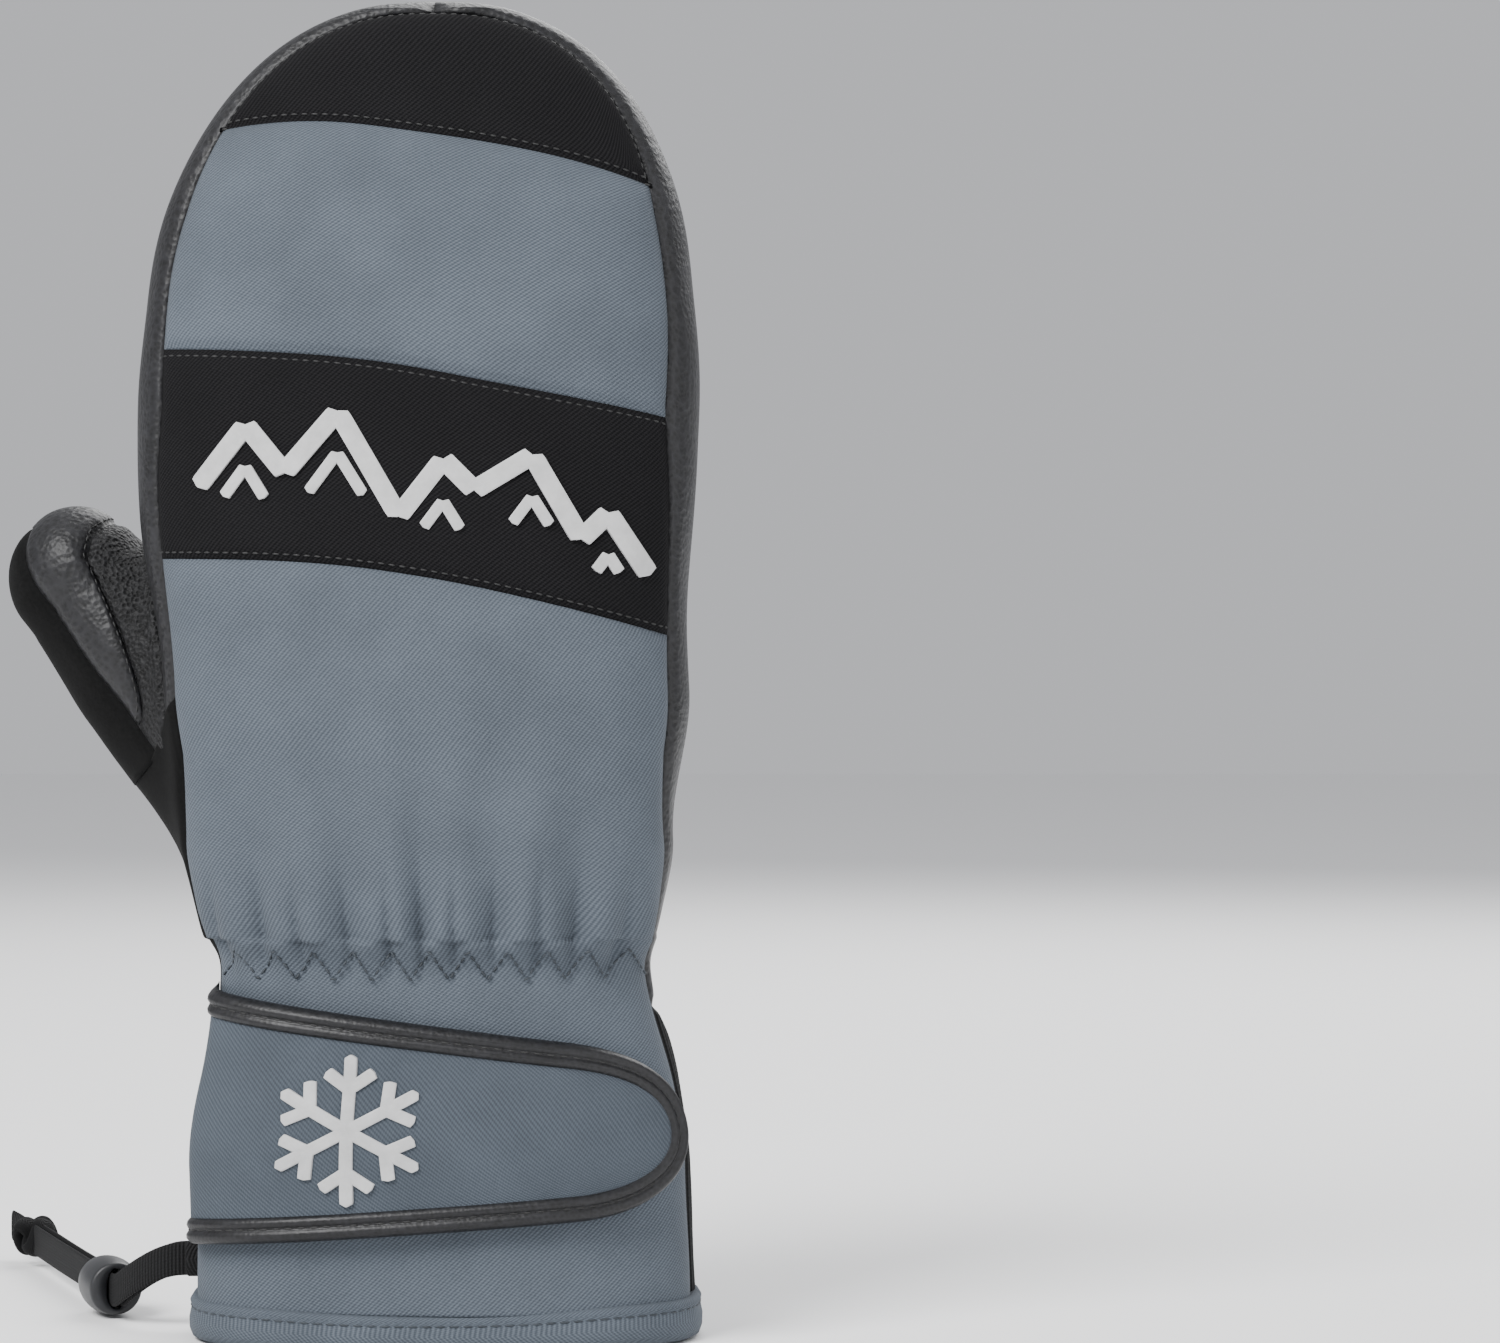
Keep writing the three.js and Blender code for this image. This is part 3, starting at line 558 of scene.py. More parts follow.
lamps = {
    "key": {"at": (-0.9, -1.2, 1.5), "size": 1.0, "power": 62},
    "fill": {"at": (1.3, -1.0, 0.7), "size": 1.6, "power": 12},
    "back": {"at": (0.5, 1.3, 1.4), "size": 1.5, "power": 34},
}
for name, lamp in lamps.items():
    light = linked(name, bpy.data.lights.new(name, "AREA"))
    light.data.size, light.data.energy = lamp["size"], lamp["power"]
    light.location = lamp["at"]
    toMiddle = np.array([0.03, 0, 0.15]) - np.array(lamp["at"])
    lean, heading = math.acos(-toMiddle[2] / np.linalg.norm(toMiddle)), math.atan2(toMiddle[1], toMiddle[0])
    light.rotation_euler = (lean, 0, heading - math.pi / 2)

world = bpy.data.worlds.new("studio")
world.use_nodes = True
world.node_tree.nodes["Background"].inputs["Color"].default_value = (0.95, 0.96, 1, 1)
world.node_tree.nodes["Background"].inputs["Strength"].default_value = 0.6
bpy.context.scene.world = world

Graph("paleFloor", 0.9).shade({"Base Color": (0.93, 0.93, 0.93, 1)})
floorPlaces = np.array([(-1, -1, 0), (1, -1, 0), (1, 1, 0), (-1, 1, 0)]) * 6000 - [0, 0, 0.05]
meshObject("floor", floorPlaces, [(0, 1, 2, 3)], materials["paleFloor"])
print("camera, light and floor set")


# ---- leash ----
leash = {
    "tab": (-59.8, 9, 16.5), "tabThick": 3.6, "gap": 0.3, "turnRadius": 18, "heading": math.atan2(0.947, -0.32),
    "length": 126, "intoTab": 1.6, "intoKnot": 5,
    "lie": 7.1, "fallOver": 25, "wide": 7.8, "thick": 1.25, "apart": 1.05, "lockAt": 34.5,
}
exitPlace = np.array(leash["tab"], dtype=float) - [leash["tabThick"] / 2 + leash["gap"], 0, 0]


def leashPlace(distance):
    # out to the side and round on a circle, down to lie on the ground, then straight; also the heading there
    turn = np.minimum(distance / leash["turnRadius"], np.pi - leash["heading"])
    straight = distance - turn * leash["turnRadius"]
    fall = np.clip(distance / leash["fallOver"], 0, 1)
    fall = fall * fall * (3 - 2 * fall)
    x = exitPlace[0] - leash["turnRadius"] * np.sin(turn) + straight * math.cos(leash["heading"])
    y = exitPlace[1] + leash["turnRadius"] * (1 - np.cos(turn)) + straight * math.sin(leash["heading"])
    return np.stack([x, y, exitPlace[2] + (leash["lie"] - exitPlace[2]) * fall], -1), np.pi - turn


def tape(name, route, sideways, upward, wide, thick, material, body):
    # a woven tape: a flat section with rounded edges, carried along a route
    angle = turns(32)
    across, through = wide / 2 * signed(np.sin(angle), 0.55), thick / 2 * signed(np.cos(angle), 0.8)
    p = route[:, None] + upward[:, None] * across[None, :, None] + sideways[:, None] * through[None, :, None]
    uv = np.stack(np.broadcast_arrays(across[None] / 1000, edgeLengths(route[:, None])[2] / 1000), -1)
    piece = cappedTube(name, p, materials[material], uv)
    rideOn(piece, body)
    return piece


def leashStrand(side):
    distance = np.linspace(-leash["intoTab"], leash["length"] + leash["intoKnot"], 92)
    route, heading = leashPlace(distance)
    outer = np.stack([-np.sin(heading), np.cos(heading), 0 * heading], -1)
    # each strand wanders a little beside the other as it goes
    sway = 0.1 * np.sin(distance / 14 + side)
    sway = sway * np.clip((distance - 46) / 20, 0, 1) * np.clip((leash["length"] - distance) / 15, 0, 1)
    route = route + outer * (side * leash["apart"] + sway * np.sign(side))[:, None]
    upward = np.broadcast_to([0.0, 0.0, 1.0], route.shape)
    return route, outer, upward


for side, node in ((-1, "leash_strand_upper"), (1, "leash_strand_lower")):
    route, outer, upward = leashStrand(side)
    name = "leashTapeNear" if side < 0 else "leashTapeFar"
    strand = tape(name, route, outer, upward, leash["wide"], leash["thick"], "webbing", "hand")
    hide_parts(node)

# the knot and lock are worked out with the leash along their own y
knotWay = np.array([math.cos(leash["heading"]), math.sin(leash["heading"]), 0])
knotSide = np.array([-knotWay[1], knotWay[0], 0])


def onLeash(p, centre):
    # from the leash's own x, y, z to the mitten's
    return centre + p[..., :1] * -knotSide + p[..., 1:2] * knotWay + p[..., 2:] * np.array([0, 0, 1.0])


knotCentre = leashPlace(np.array(leash["length"] + 8.0))[0] * [1, 1, 0] + [0, 0, 7.5]
t = turns(160)
trefoil = np.stack([
    2.7 * (np.sin(t) + 1.6 * np.sin(2 * t)),
    3.0 * (np.cos(t) - 1.6 * np.cos(2 * t)),
    -3.1 * np.sin(3 * t),
], -1) * [0.62, 0.62, 1.0]
way = unit(np.roll(trefoil, -1, 0) - np.roll(trefoil, 1, 0))
out = unit(trefoil * [1, 1, 1.6])
sideWay = unit(np.cross(way, out))
out = np.cross(sideWay, way)
angle = turns(24)
loop = trefoil[:, None] + sideWay[:, None] * (2.9 * np.cos(angle))[:, None]
loop = loop + out[:, None] * (1.7 * np.sin(angle))[:, None]
loop[..., 2] = np.maximum(loop[..., 2], -7.3)
knotPiece = gridObject("knot", onLeash(loop, knotCentre), materials["webbing"], True, True, flip=True)
place(knotPiece, "hand", "webbing", "leash_knot")

for k, (lean, rise) in enumerate(((-0.22, 0.6), (0.2, -0.9))):
    s = np.linspace(0, 1, 16)
    route = np.stack([lean * 11 * s * s + (k - 0.5) * 1.5, 4.5 + 11 * s, rise * s * 2], -1)
    angle = turns(16)
    tall = (3.0 + s)[:, None] * signed(np.sin(angle), 0.55)
    thin = 0.65 * signed(np.cos(angle), 0.8) + 0 * tall
    flat = route[:, None] + np.stack([thin, 0 * tall, tall], -1)
    tail = cappedTube(f"knotTail{k + 1}", onLeash(flat, knotCentre), materials["webbing"])
    place(tail, "hand", "webbing")

# lock: a barrel lathed from its side line, run back through a slot with round ends
barrel = {"radius": 6.8, "end": 6.1, "reach": 7.9, "chamfer": [(8.1, 5.95), (8.3, 5.55)], "slotRadius": 2.3,
          "slotReach": 2.5, "slotEnd": [(8.25, 1.06), (8.0, 1.0)]}
angle = turns(72)
circle = np.stack([np.cos(angle), 0 * angle, np.sin(angle)], -1)
slotTall = (barrel["slotRadius"] + barrel["slotReach"]) * signed(np.sin(angle), 0.8)
slotRing = np.stack([barrel["slotRadius"] * np.cos(angle), 0 * angle, slotTall], -1)
bulge = [(barrel["reach"] * b, barrel["end"] + (barrel["radius"] - barrel["end"]) * (1 - b * b) + 0.05)
         for b in np.linspace(-1, 1, 17)]
outer = [(-y, r) for y, r in barrel["chamfer"][::-1]] + bulge + barrel["chamfer"]
inner = barrel["slotEnd"] + [(y, 1.0) for y in np.linspace(6.5, -6.5, 6)]
inner += [(-y, grow) for y, grow in barrel["slotEnd"][::-1]]
rings = [circle * r + [0, y, 0] for y, r in outer] + [slotRing * [grow, 1, grow] + [0, y, 0] for y, grow in inner]
lockCentre = leashPlace(np.array(leash["lockAt"]))[0]
lockPiece = gridObject("cordLock", onLeash(np.array(rings), lockCentre), materials["lockPlastic"], True, True)
place(lockPiece, "lock", "lock_plastic", "cord_lock")

# tab: the leash's root, a folded block of webbing sewn into the side seam
angle = turns(40)
tabRing = np.stack([0 * angle, 2.2 * signed(np.cos(angle), 0.45), 4.2 * signed(np.sin(angle), 0.45)], -1)
tabLine = [(2.2, 0.02), (2.2, 0.96), (1.6, 1), (-1.2, 1), (-1.75, 0.9), (-1.8, 0.02)]
tabRings = [tabRing * grow + [x, 0, 0] for x, grow in tabLine]
tabPiece = gridObject("leashTab", np.array(tabRings) + leash["tab"], materials["webbing"], closedColumns=True)
place(tabPiece, "hand", "webbing", "leash_tab")

print("leash made")


# ---- shell panels ----
def roll(p, amount, size, seed):
    # gentle unevenness of soft cloth: a few long waves of different directions
    q = p / size
    return amount * (
        np.sin(q[..., 0] * 1.7 + seed) * np.sin(q[..., 2] * 1.3 + 2 * seed)
        + 0.6 * np.sin(q[..., 0] * 0.9 - q[..., 2] * 1.9 + seed * 3)
        + 0.4 * np.sin(q[..., 1] * 2.3 + q[..., 2] * 2.7 + seed)
    )


def gathers(p):
    # folds that stand out above the elastic and below it, and longer ones that fan up towards the hand
    x, z = p[..., 0], p[..., 2]
    above = np.where(z > 93, np.exp(-((z - 93) / 13) ** 2), np.exp(-((z - 93) / 7) ** 2))
    fan = x * (1 - 0.0035 * (z - 88)) + 1.3 * np.sin(x / 11) + 0.8 * np.sin(x / 5.3 + 1)
    folds = np.abs(np.cos(np.pi * fan / gather["pitch"])) ** 0.8
    long = np.sin(2 * np.pi * fan / 19 + 1.5 * np.sin(x / 23)) * np.where(z > 93, np.exp(-((z - 93) / 34) ** 2), 0)
    pinch = -0.9 * np.exp(-((z - 87.5) / 4.5) ** 2)
    return gather["depth"] * above * folds + gather["longDepth"] * long + pinch


def finish(name, p, material, body, slot, nodes, tucks=(1, 1, 1, 1), puff=0.5, tuck=1.1, wave=0.25, waveSize=16,
           seed=1.0, gathered=0.0, wall=1.1, inner=None, reach=1.7, filled=True):
    # lift a seamed panel: swollen inside, drawn in along its seams, uneven like cloth
    lengths = edgeLengths(p)
    nearest = np.full(p.shape[:2], 1e3)
    for d, on in zip(lengths, tucks):
        if on:
            nearest = np.minimum(nearest, d)
    normal = gridNormals(p)
    if inner is None:
        inner = np.stack([*section(p[..., 2])[:2], p[..., 2]], -1)
    outside = np.sign((normal * (p - inner)).sum(-1).mean())
    normal = normal * outside
    bulk = puff * (1 - np.exp(-((nearest / 7) ** 2))) - tuck * np.exp(-((nearest / reach) ** 2))
    away = bulk + roll(p, wave, waveSize, seed) * (1 - np.exp(-((nearest / 5) ** 2)))
    if gathered:
        away = away + gathered * gathers(p) * (1 - np.exp(-((nearest / 3) ** 2)))
    away = away * np.clip((hand["height"] - p[..., 2]) / 1.2, 0, 1)
    flat, p = p, p + normal * away[..., None]
    piece = gridObject(name, p, materials[material], wall=wall, flip=outside < 0, flat=flat)
    place(piece, body, slot, *nodes)
    return p


def backPanel(name, foot, top, material, slot, node, rows, **looks):
    # a panel of the back between two seams, laid out in x and z and lifted onto the surface
    columns, low = 150, [cuff["foot"] if foot == "hem" else seamEnd(foot, side) for side in (-1, 1)]
    bottom = acrossBack(foot, *low, columns)
    if top == "over":
        upper = overTheTop(backEdge, *low, columns)
        left, right = np.repeat(bottom[:1], rows, 0), np.repeat(bottom[-1:], rows, 0)
    else:
        high = [seamEnd(top, side) for side in (-1, 1)]
        upper = acrossBack(top, *high, columns)
        left, right = (edgeLine(backEdge, side, low[k], high[k], rows) for k, side in enumerate((-1, 1)))
    p = onSide(coons(bottom, upper, left, right), -1)
    return finish(name, p, material, "hand", slot, [node], **looks)


backPanel("backLower", "hem", "bandFoot", "blueTwill", "blue_twill", "back_lower_panel", 260, gathered=1.0,
          wave=0.35, seed=0.4, tucks=(1, 1, 0, 1))
bandPanel = backPanel("backBand", "bandFoot", "bandTop", "blackTwill", "black_twill", "back_band_panel", 80,
                      seed=2.1)
backPanel("backUpper", "bandTop", "tip", "blueTwill", "blue_twill", "back_upper_panel", 90, seed=3.3, wave=0.3)
tipPanel = backPanel("backTip", "tip", "over", "blackTwill", "black_twill", "back_tip_panel", 60, seed=4.2)
print("back made")


def sideStrip(side, low, edges, rows=260, columns=26):
    # between the back's edge and the palm's edge: y swings as a sine between them, x follows the section
    bendAt, half = 235, rows // 2
    dome = bendAt + (hand["height"] - bendAt) * np.sin(np.linspace(0, np.pi / 2, half))
    z = np.concatenate([np.linspace(low, bendAt, half, endpoint=False), dome])[:, None]
    xc, yc, a, b = section(z)
    n = hand["roundness"]
    start, stop = (np.arcsin(np.clip((edgeY(edge, z) - yc) / b, -1, 1)) for edge in edges)
    w = start + (stop - start) * np.linspace(0, 1, columns)[None]
    s = np.sin(w)
    x = xc + side * a * (1 - np.abs(s) ** n) ** (1 / n)
    return np.stack(np.broadcast_arrays(x, yc + b * s, z * 1.0), -1)


finish("sideWallOuter", sideStrip(1, cuff["top"], (backEdge, palmEdge)), "leather", "hand", "leather",
       ["side_wall_outer"], (1, 1, 1, 0), seed=1.4, wave=0.3, gathered=0.5)
finish("sideWallThumb", sideStrip(-1, 140.0, (backEdge, palmEdge)), "leather", "hand", "leather",
       ["side_wall_thumb"], (1, 1, 0, 0), seed=2.4, wave=0.3)


def lifted(flat):
    # a patch of x and z brought onto the palm side of hand and thumb together
    start = np.stack([flat[..., 0], np.full(flat.shape[:-1], 2.0), flat[..., 1]], -1)
    return outward(start, np.array([0.0, 1.0, 0.0]), 8.0 if flat[..., 1].min() < 230 else 0.0, 44.0)


# palm panel, its left border following cuff seam, thumb root arc and patch seam
palmColumns, palmRows = 130, 300
palmTop = 250.0
palmCorner = (-17.3, cuff["top"])
leftLine = np.vstack([[palmCorner], smoothLine(palmSeams["thumbRoot"], 120),
                      smoothLine(palmSeams["patch"], 90)[1:-1], edgeLine(palmEdge, -1, 221.3, palmTop, 30)])
leftLine = evenly(leftLine, palmRows)
rightLine = edgeLine(palmEdge, 1, cuff["top"], palmTop, palmRows)
footX = np.linspace(leftLine[0, 0], rightLine[0, 0], palmColumns)
footLine = np.stack([footX, np.full(palmColumns, cuff["top"])], -1)
overLine = overTheTop(palmEdge, palmTop, palmTop, palmColumns)
flatPalm = coons(footLine, overLine, leftLine, rightLine)
palmBase = onSide(flatPalm, 1)
fromField = lifted(np.stack([flatPalm[..., 0], np.clip(flatPalm[..., 1], 70, 215)], -1))
near = 1 - np.clip((flatPalm[..., 1:2] - 190) / 20, 0, 1)
palmBase[..., 1:2] = palmBase[..., 1:2] * (1 - near) + fromField[..., 1:2] * near
palmPanel = finish("palm", palmBase, "leather", "hand", "leather", ["palm_panel"], seed=5.1, wave=0.55,
                   waveSize=18, puff=0.8, gathered=0.5)

# crotch patch, between forefinger side and thumb
patchRight = smoothLine([(-36, 160)] + palmSeams["patch"][:5], 90)
patchTop = smoothLine([patchRight[-1], (-56, 219.5), (-67.5, 221)], 50)[::-1]
patchLeft = edgeLine(palmEdge, -1, 158.0, 221.0, 90)
patchTop[0], patchTop[-1] = patchLeft[-1], patchRight[-1]
patchFoot = np.linspace(patchLeft[0], patchRight[0], 50)
patchBase = onSide(coons(patchFoot, patchTop, patchLeft, patchRight), 1)
finish("crotchPatch", patchBase, "pebbled", "hand", "pebbled_leather", ["crotch_patch"], (1, 1, 0, 1), seed=6.0,
       wave=0.3)

# cuff: rib knit over the palm half, from one side seam round to the other
z = np.linspace(cuff["foot"], 76.6, 130)[:, None]
start = np.arcsin((cuff["seamDepth"] / section(z)[3]) ** (hand["roundness"] / 2))
angle = -start + (np.pi + 2 * start) * np.linspace(0, 1, 220)[None]
cuffBase = ringPoint(angle, z + 0 * angle)
dart = cuffBase[..., 0] + 19.5 + (37 - cuffBase[..., 2]) * (5.5 / 27)
dartDepth = 0.9 * np.exp(-(dart / 0.9) ** 2) * (cuffBase[..., 1] > 0) * np.clip((40 - cuffBase[..., 2]) / 6, 0, 1)
cuffBase[..., 1] -= dartDepth
finish("cuffPalm", cuffBase, "ribKnit", "hand", "rib_knit", ["cuff_palm_panel"], (1, 1, 0, 1), seed=7.0, wave=0.3,
       waveSize=14, filled=False)
print("palm side made")


# ---- thumb ----
def tipSeam(angle):
    # how far along the thumb the tip cap reaches down, at each angle round it
    return along([(0, 0.78), (80, 1.16), (130, 1.18), (212, 0.6)], angle)


def thumbPanel(name, first, last, low, high, material, slot, node, rows=90, columns=70, **looks):
    # a panel between two angles round the thumb and two lines along it
    degrees = np.linspace(first, last, columns)
    foot, top = low(degrees)[None], high(degrees)[None]
    s = foot + (top - foot) * np.linspace(0, 1, rows)[:, None]
    p = thumbPoint(s, np.broadcast_to(np.radians(degrees)[None], s.shape))
    inner = thumbLine(np.minimum(s, 1))[0]
    return finish(name, p, material, "thumbRoot", slot, [node], inner=inner, **looks)


def level(value):
    # a border of the thumb that stays at one place along it
    return lambda angle: np.full(angle.shape, value)


jointAt, seamAngle, palmAngle = thumb["jointAt"], thumb["seamAngle"], thumb["palmAngle"]
# the two cloths that run across the joint have the same waves on both sides of it
rootLeather = {"seed": 8.3, "wave": 0.35, "waveSize": 12}
rootSoftshell = {"seed": 9.1, "wave": 0.5, "waveSize": 11}
capPanel = thumbPanel("thumbTip", 0, seamAngle, tipSeam, level(2.0), "leather", "leather", "thumb_tip_panel",
                      tucks=(1, 1, 1, 0), seed=1.7, wave=0.2, waveSize=9)
thumbPalm = thumbPanel("thumbPalm", 0, palmAngle, level(jointAt), tipSeam, "leather", "leather", "thumb_palm_panel",
                       tucks=(1, 0, 0, 1), **rootLeather)
thumbPanel("thumbGrip", palmAngle, seamAngle, level(0.42), tipSeam, "pebbled", "pebbled_leather", "thumb_patch",
           tucks=(0, 1, 0, 1), seed=3.7, wave=0.15, waveSize=9)
thumbPanel("thumbSoftshell", seamAngle, 360, level(jointAt), level(2.0), "softshell", "softshell",
           "thumb_softshell", tucks=(1, 1, 0, 0), **rootSoftshell)

# thumb root: leather between the palm's arc and the softshell seam, up to the thumb's joint
rootRows, rootColumns = 90, 70
jointRing = thumbPoint(np.full(rootColumns, jointAt), np.radians(np.linspace(0, palmAngle, rootColumns)))
arc = smoothLine(palmSeams["thumbRoot"], rootColumns)
softSeam = smoothLine([(-18, 94), (-30, 108), (-44, 122), tuple(jointRing[0, [0, 2]])], rootRows)
crotchLine = smoothLine([tuple(arc[-1]), (-42, 163), tuple(jointRing[-1, [0, 2]])], rootRows)
flatRoot = coons(arc, jointRing[:, [0, 2]], softSeam, crotchLine)
rootPanel = finish("thumbRootLeather", lifted(flatRoot), "leather", "thumbRoot", "leather", ["thumb_root_panel"],
                   (1, 0, 1, 0), **rootLeather)

# web: leather under the crotch's seams, which stays with the hand and fills the fold between hand and thumb
webX, webZ = np.linspace(-62, -12, 60), np.linspace(140, 188, 60)
webBase = lifted(np.stack(np.meshgrid(webX, webZ), -1))
webNormal = gridNormals(webBase)
webNormal = webNormal * np.sign(webNormal[..., 1].mean())
webPiece = gridObject("crotchWeb", webBase - webNormal * 1.5, materials["leather"], wall=0.3, flip=True)
place(webPiece, "hand", "leather")


def onShape(p, steps=7):
    # slide points along the field's slope until they lie on hand and thumb together
    for _ in range(steps):
        f = shapeField(p)
        slope = np.stack([shapeField(p + d) - f for d in np.eye(3) * 0.05], -1) / 0.05
        p = p - slope * (f / np.maximum((slope ** 2).sum(-1), 0.2))[..., None]
    return p


# gusset: softshell from the cuff up the thumb side, round to the back's edge
lower = np.radians(np.linspace(seamAngle, 360, 80))
gussetTop = thumbPoint(np.full(80, jointAt), lower)
backTop = 148.0
zs = np.linspace(cuff["top"], backTop, 90)
gussetLeft = np.stack([edgeAt(backEdge, -1, zs), edgeY(backEdge, zs), zs], -1)
gussetTop = evenly(np.vstack([gussetLeft[-1:], gussetTop[6:]]), 80)
gussetRight = lifted(evenly(np.vstack([[palmCorner], softSeam]), 90))
backAngle = np.pi + np.arcsin((cuff["seamDepth"] / section(cuff["top"])[3]) ** (hand["roundness"] / 2))
ring = ringPoint(np.linspace(backAngle, 0, 400), np.full(400, cuff["top"]))
ring = ring[ring[:, 0] <= gussetRight[0, 0] + 0.01]
gussetFoot = evenly(ring, 80)
gussetTop[-1] = gussetRight[-1]
gussetBase = onShape(coons(gussetFoot, gussetTop, gussetLeft, gussetRight))
finish("gusset", gussetBase, "softshell", "thumbRoot", "softshell", ["softshell_gusset"], (1, 1, 1, 0),
       gathered=0.9, **rootSoftshell)
print("thumb made")


# ---- hem and lining ----
# a closed profile of (inset, height) pairs carried round the section at those heights, its top edge wavy
hemProfile = [(-0.2, 9.6), (-1.0, 9.3), (-1.7, 8.2), (-1.35, 7.2), (-1.5, 6.4), (-1.9, 4.5), (-1.8, 2.4),
              (-1.2, 0.9), (0.2, 0.15), (2.6, 0.0), (4.2, 0.4), (5.2, 1.6), (5.6, 3.6), (5.5, 6.0), (5.2, 8.6),
              (3.4, 9.0), (1.4, 9.3)]
angle = turns(220)
hemInset, z = (column[:, None] + 0 * angle for column in np.array(hemProfile).T)
hemGrid = ringPoint(angle + 0 * z, z, hemInset)
hemGrid[..., 2] = z + (0.9 * np.cos(2 * angle + 0.2) + 0.3 * np.sin(5 * angle)) * np.clip(z / 9, 0, 1)
hemPiece = gridObject("hem", hemGrid, materials["blueTwill"], True, True, flip=True)
place(hemPiece, "hand", "blue_twill", "hem_binding")

lining = {"foot": 8.8, "bendAt": 215, "dome": 87.3, "wall": 1.1}
liningDome = lining["bendAt"] + lining["dome"] * np.sin(np.linspace(0, np.pi / 2, 30))[1:]
z = np.concatenate([np.linspace(lining["foot"], lining["bendAt"], 110), liningDome])[:, None]
angle = turns(160)[None]
t = np.clip((z - 70) / 22, 0, 1)
liningInset = 4.4 + 4.3 * t * t * (3 - 2 * t)
liningGrid = ringPoint(angle + 0 * z, z + 0 * angle, liningInset + 0 * angle)
liningPiece = gridObject("lining", liningGrid, materials["fleece"], closedColumns=True, wall=lining["wall"])
place(liningPiece, "hand", "fleece", "lining_back", "lining_palm")
print("hem and lining made")


# ---- strap, laid out flat as length round the cuff and height ----
strap = {
    "rootX": -57.45, "rootTop": 82.0, "rootFoot": 22.6,
    "end": [(30, 69.6), (45, 67.5), (51.5, 62), (51.5, 50), (51.5, 39), (45, 32), (30, 30.2)],
    "faceInset": 5.2, "faceAway": 4.7, "crown": 0.5, "backAway": 2.5,
    # pairs of distance from the strap's edge and from the cuff: two rolls with the stitched groove between them
    "binding": [(0.0, 2.6), (-0.35, 3.2), (-0.3, 4.2), (0.2, 5.2), (1.0, 5.9), (1.8, 6.0), (2.5, 5.5), (2.9, 5.1),
                (3.3, 5.5), (4.0, 5.9), (4.8, 5.7), (5.4, 5.0), (5.7, 4.3), (5.6, 3.6), (4.4, 2.5), (1.6, 2.1)],
}
sweep = np.linspace(-np.pi / 2 - 1.45, -np.pi / 2 + 1.45, 600)
sweepLine = ringPoint(sweep, np.full(600, 50.0))
sweepLength = np.concatenate([[0], np.cumsum(np.linalg.norm(np.diff(sweepLine, axis=0), axis=1))])
sweepLength -= np.interp(0, sweepLine[:, 0], sweepLength)


def flatX(x):
    return np.interp(x, sweepLine[:, 0], sweepLength)


rootLength = flatX(strap["rootX"])


def wrapped(length, z, away):
    # a flat length and height wrapped round the back of the cuff, a distance away from it
    # away is less towards the strap's root, where it is sewn down
    length, z, away = np.broadcast_arrays(length * 1.0, z * 1.0, away * 1.0)
    risen = np.clip((length - rootLength) / 13, 0, 1)
    away = away * (0.12 + 0.88 * risen * risen * (3 - 2 * risen))
    angle = np.interp(length, sweepLength, sweep)
    return ringPoint(angle, z, -away)


def bezier(points, count):
    t = np.linspace(0, 1, count)[:, None]
    a, b, c, d = (np.array(p, dtype=float) for p in points)
    return (1 - t) ** 3 * a + 3 * t * (1 - t) ** 2 * b + 3 * t * t * (1 - t) * c + t ** 3 * d


curve = np.vstack([bezier(strap["end"][:4], 60), bezier(strap["end"][3:], 60)[1:]])
curve[:, 0] = flatX(curve[:, 0])
outline = evenly(np.vstack([[(rootLength, strap["rootTop"])], curve, [(rootLength, strap["rootFoot"])]]), 420)
outlineWay = unit(np.gradient(outline, axis=0))
inwards = np.stack([outlineWay[:, 1], -outlineWay[:, 0]], -1)  # the strap lies to the right of its outline

# binding, closed round the strap's edge
d, h = np.array(strap["binding"]).T[:, None]
flat = outline[:, None] + inwards[:, None] * d[..., None]
bindingGrid = wrapped(flat[..., 0], flat[..., 1], h + 0 * flat[..., 0])
place(cappedTube("strapBinding", bindingGrid, materials["bindingLeather"]), "strapRoot", "binding", "strap_binding")

inset = outline + inwards * strap["faceInset"]
first, second = (int(len(inset) * s) for s in (0.43, 0.60))
faceTop, faceFoot = evenly(inset[:first + 1], 160), evenly(inset[second:], 160)
faceEnd = evenly(inset[first:second + 1], 70)
faceLeft = np.linspace(faceFoot[-1], faceTop[0], 70)
flatFace = coons(faceFoot[::-1], faceTop, faceLeft, faceEnd[::-1])
crown = strap["faceAway"] + strap["crown"] * np.sin(np.pi * np.linspace(0, 1, 70))[:, None] * np.ones(160)[None]
faceGrid = wrapped(flatFace[..., 0], flatFace[..., 1], crown)
place(gridObject("strapFace", faceGrid, materials["strapTwill"], wall=1.2), "strapRoot", "blue_twill", "strap_face")
backGrid = wrapped(flatFace[..., 0], flatFace[..., 1], strap["backAway"] + 0 * crown)
backPiece = gridObject("strapBacking", backGrid, materials["softshell"], wall=0.8, flip=True)
place(backPiece, "strapRoot", "softshell", "strap_backing")


def pad(name, low, high, away, thick, body, node):
    # a rounded rectangle of hook or loop tape
    u, v = np.linspace(flatX(low[0]), flatX(high[0]), 60)[None], np.linspace(low[1], high[1], 30)[:, None]
    edge = np.minimum(np.minimum(u - u[0, 0], u[0, -1] - u), np.minimum(v - v[0, 0], v[-1, 0] - v))
    p = wrapped(u, v, away + 0.25 * np.clip(edge / 1.2, 0, 1))
    place(gridObject(name, p, materials["hookAndLoop"], wall=thick), body, "hook_and_loop", node)


pad("loopPad", (-26, 38), (42, 62), 1.1, 0.8, "hand", "loop_pad")
pad("hookPad", (4, 40), (40, 60), 2.3, 0.8, "strap", "hook_pad")
print("strap made")


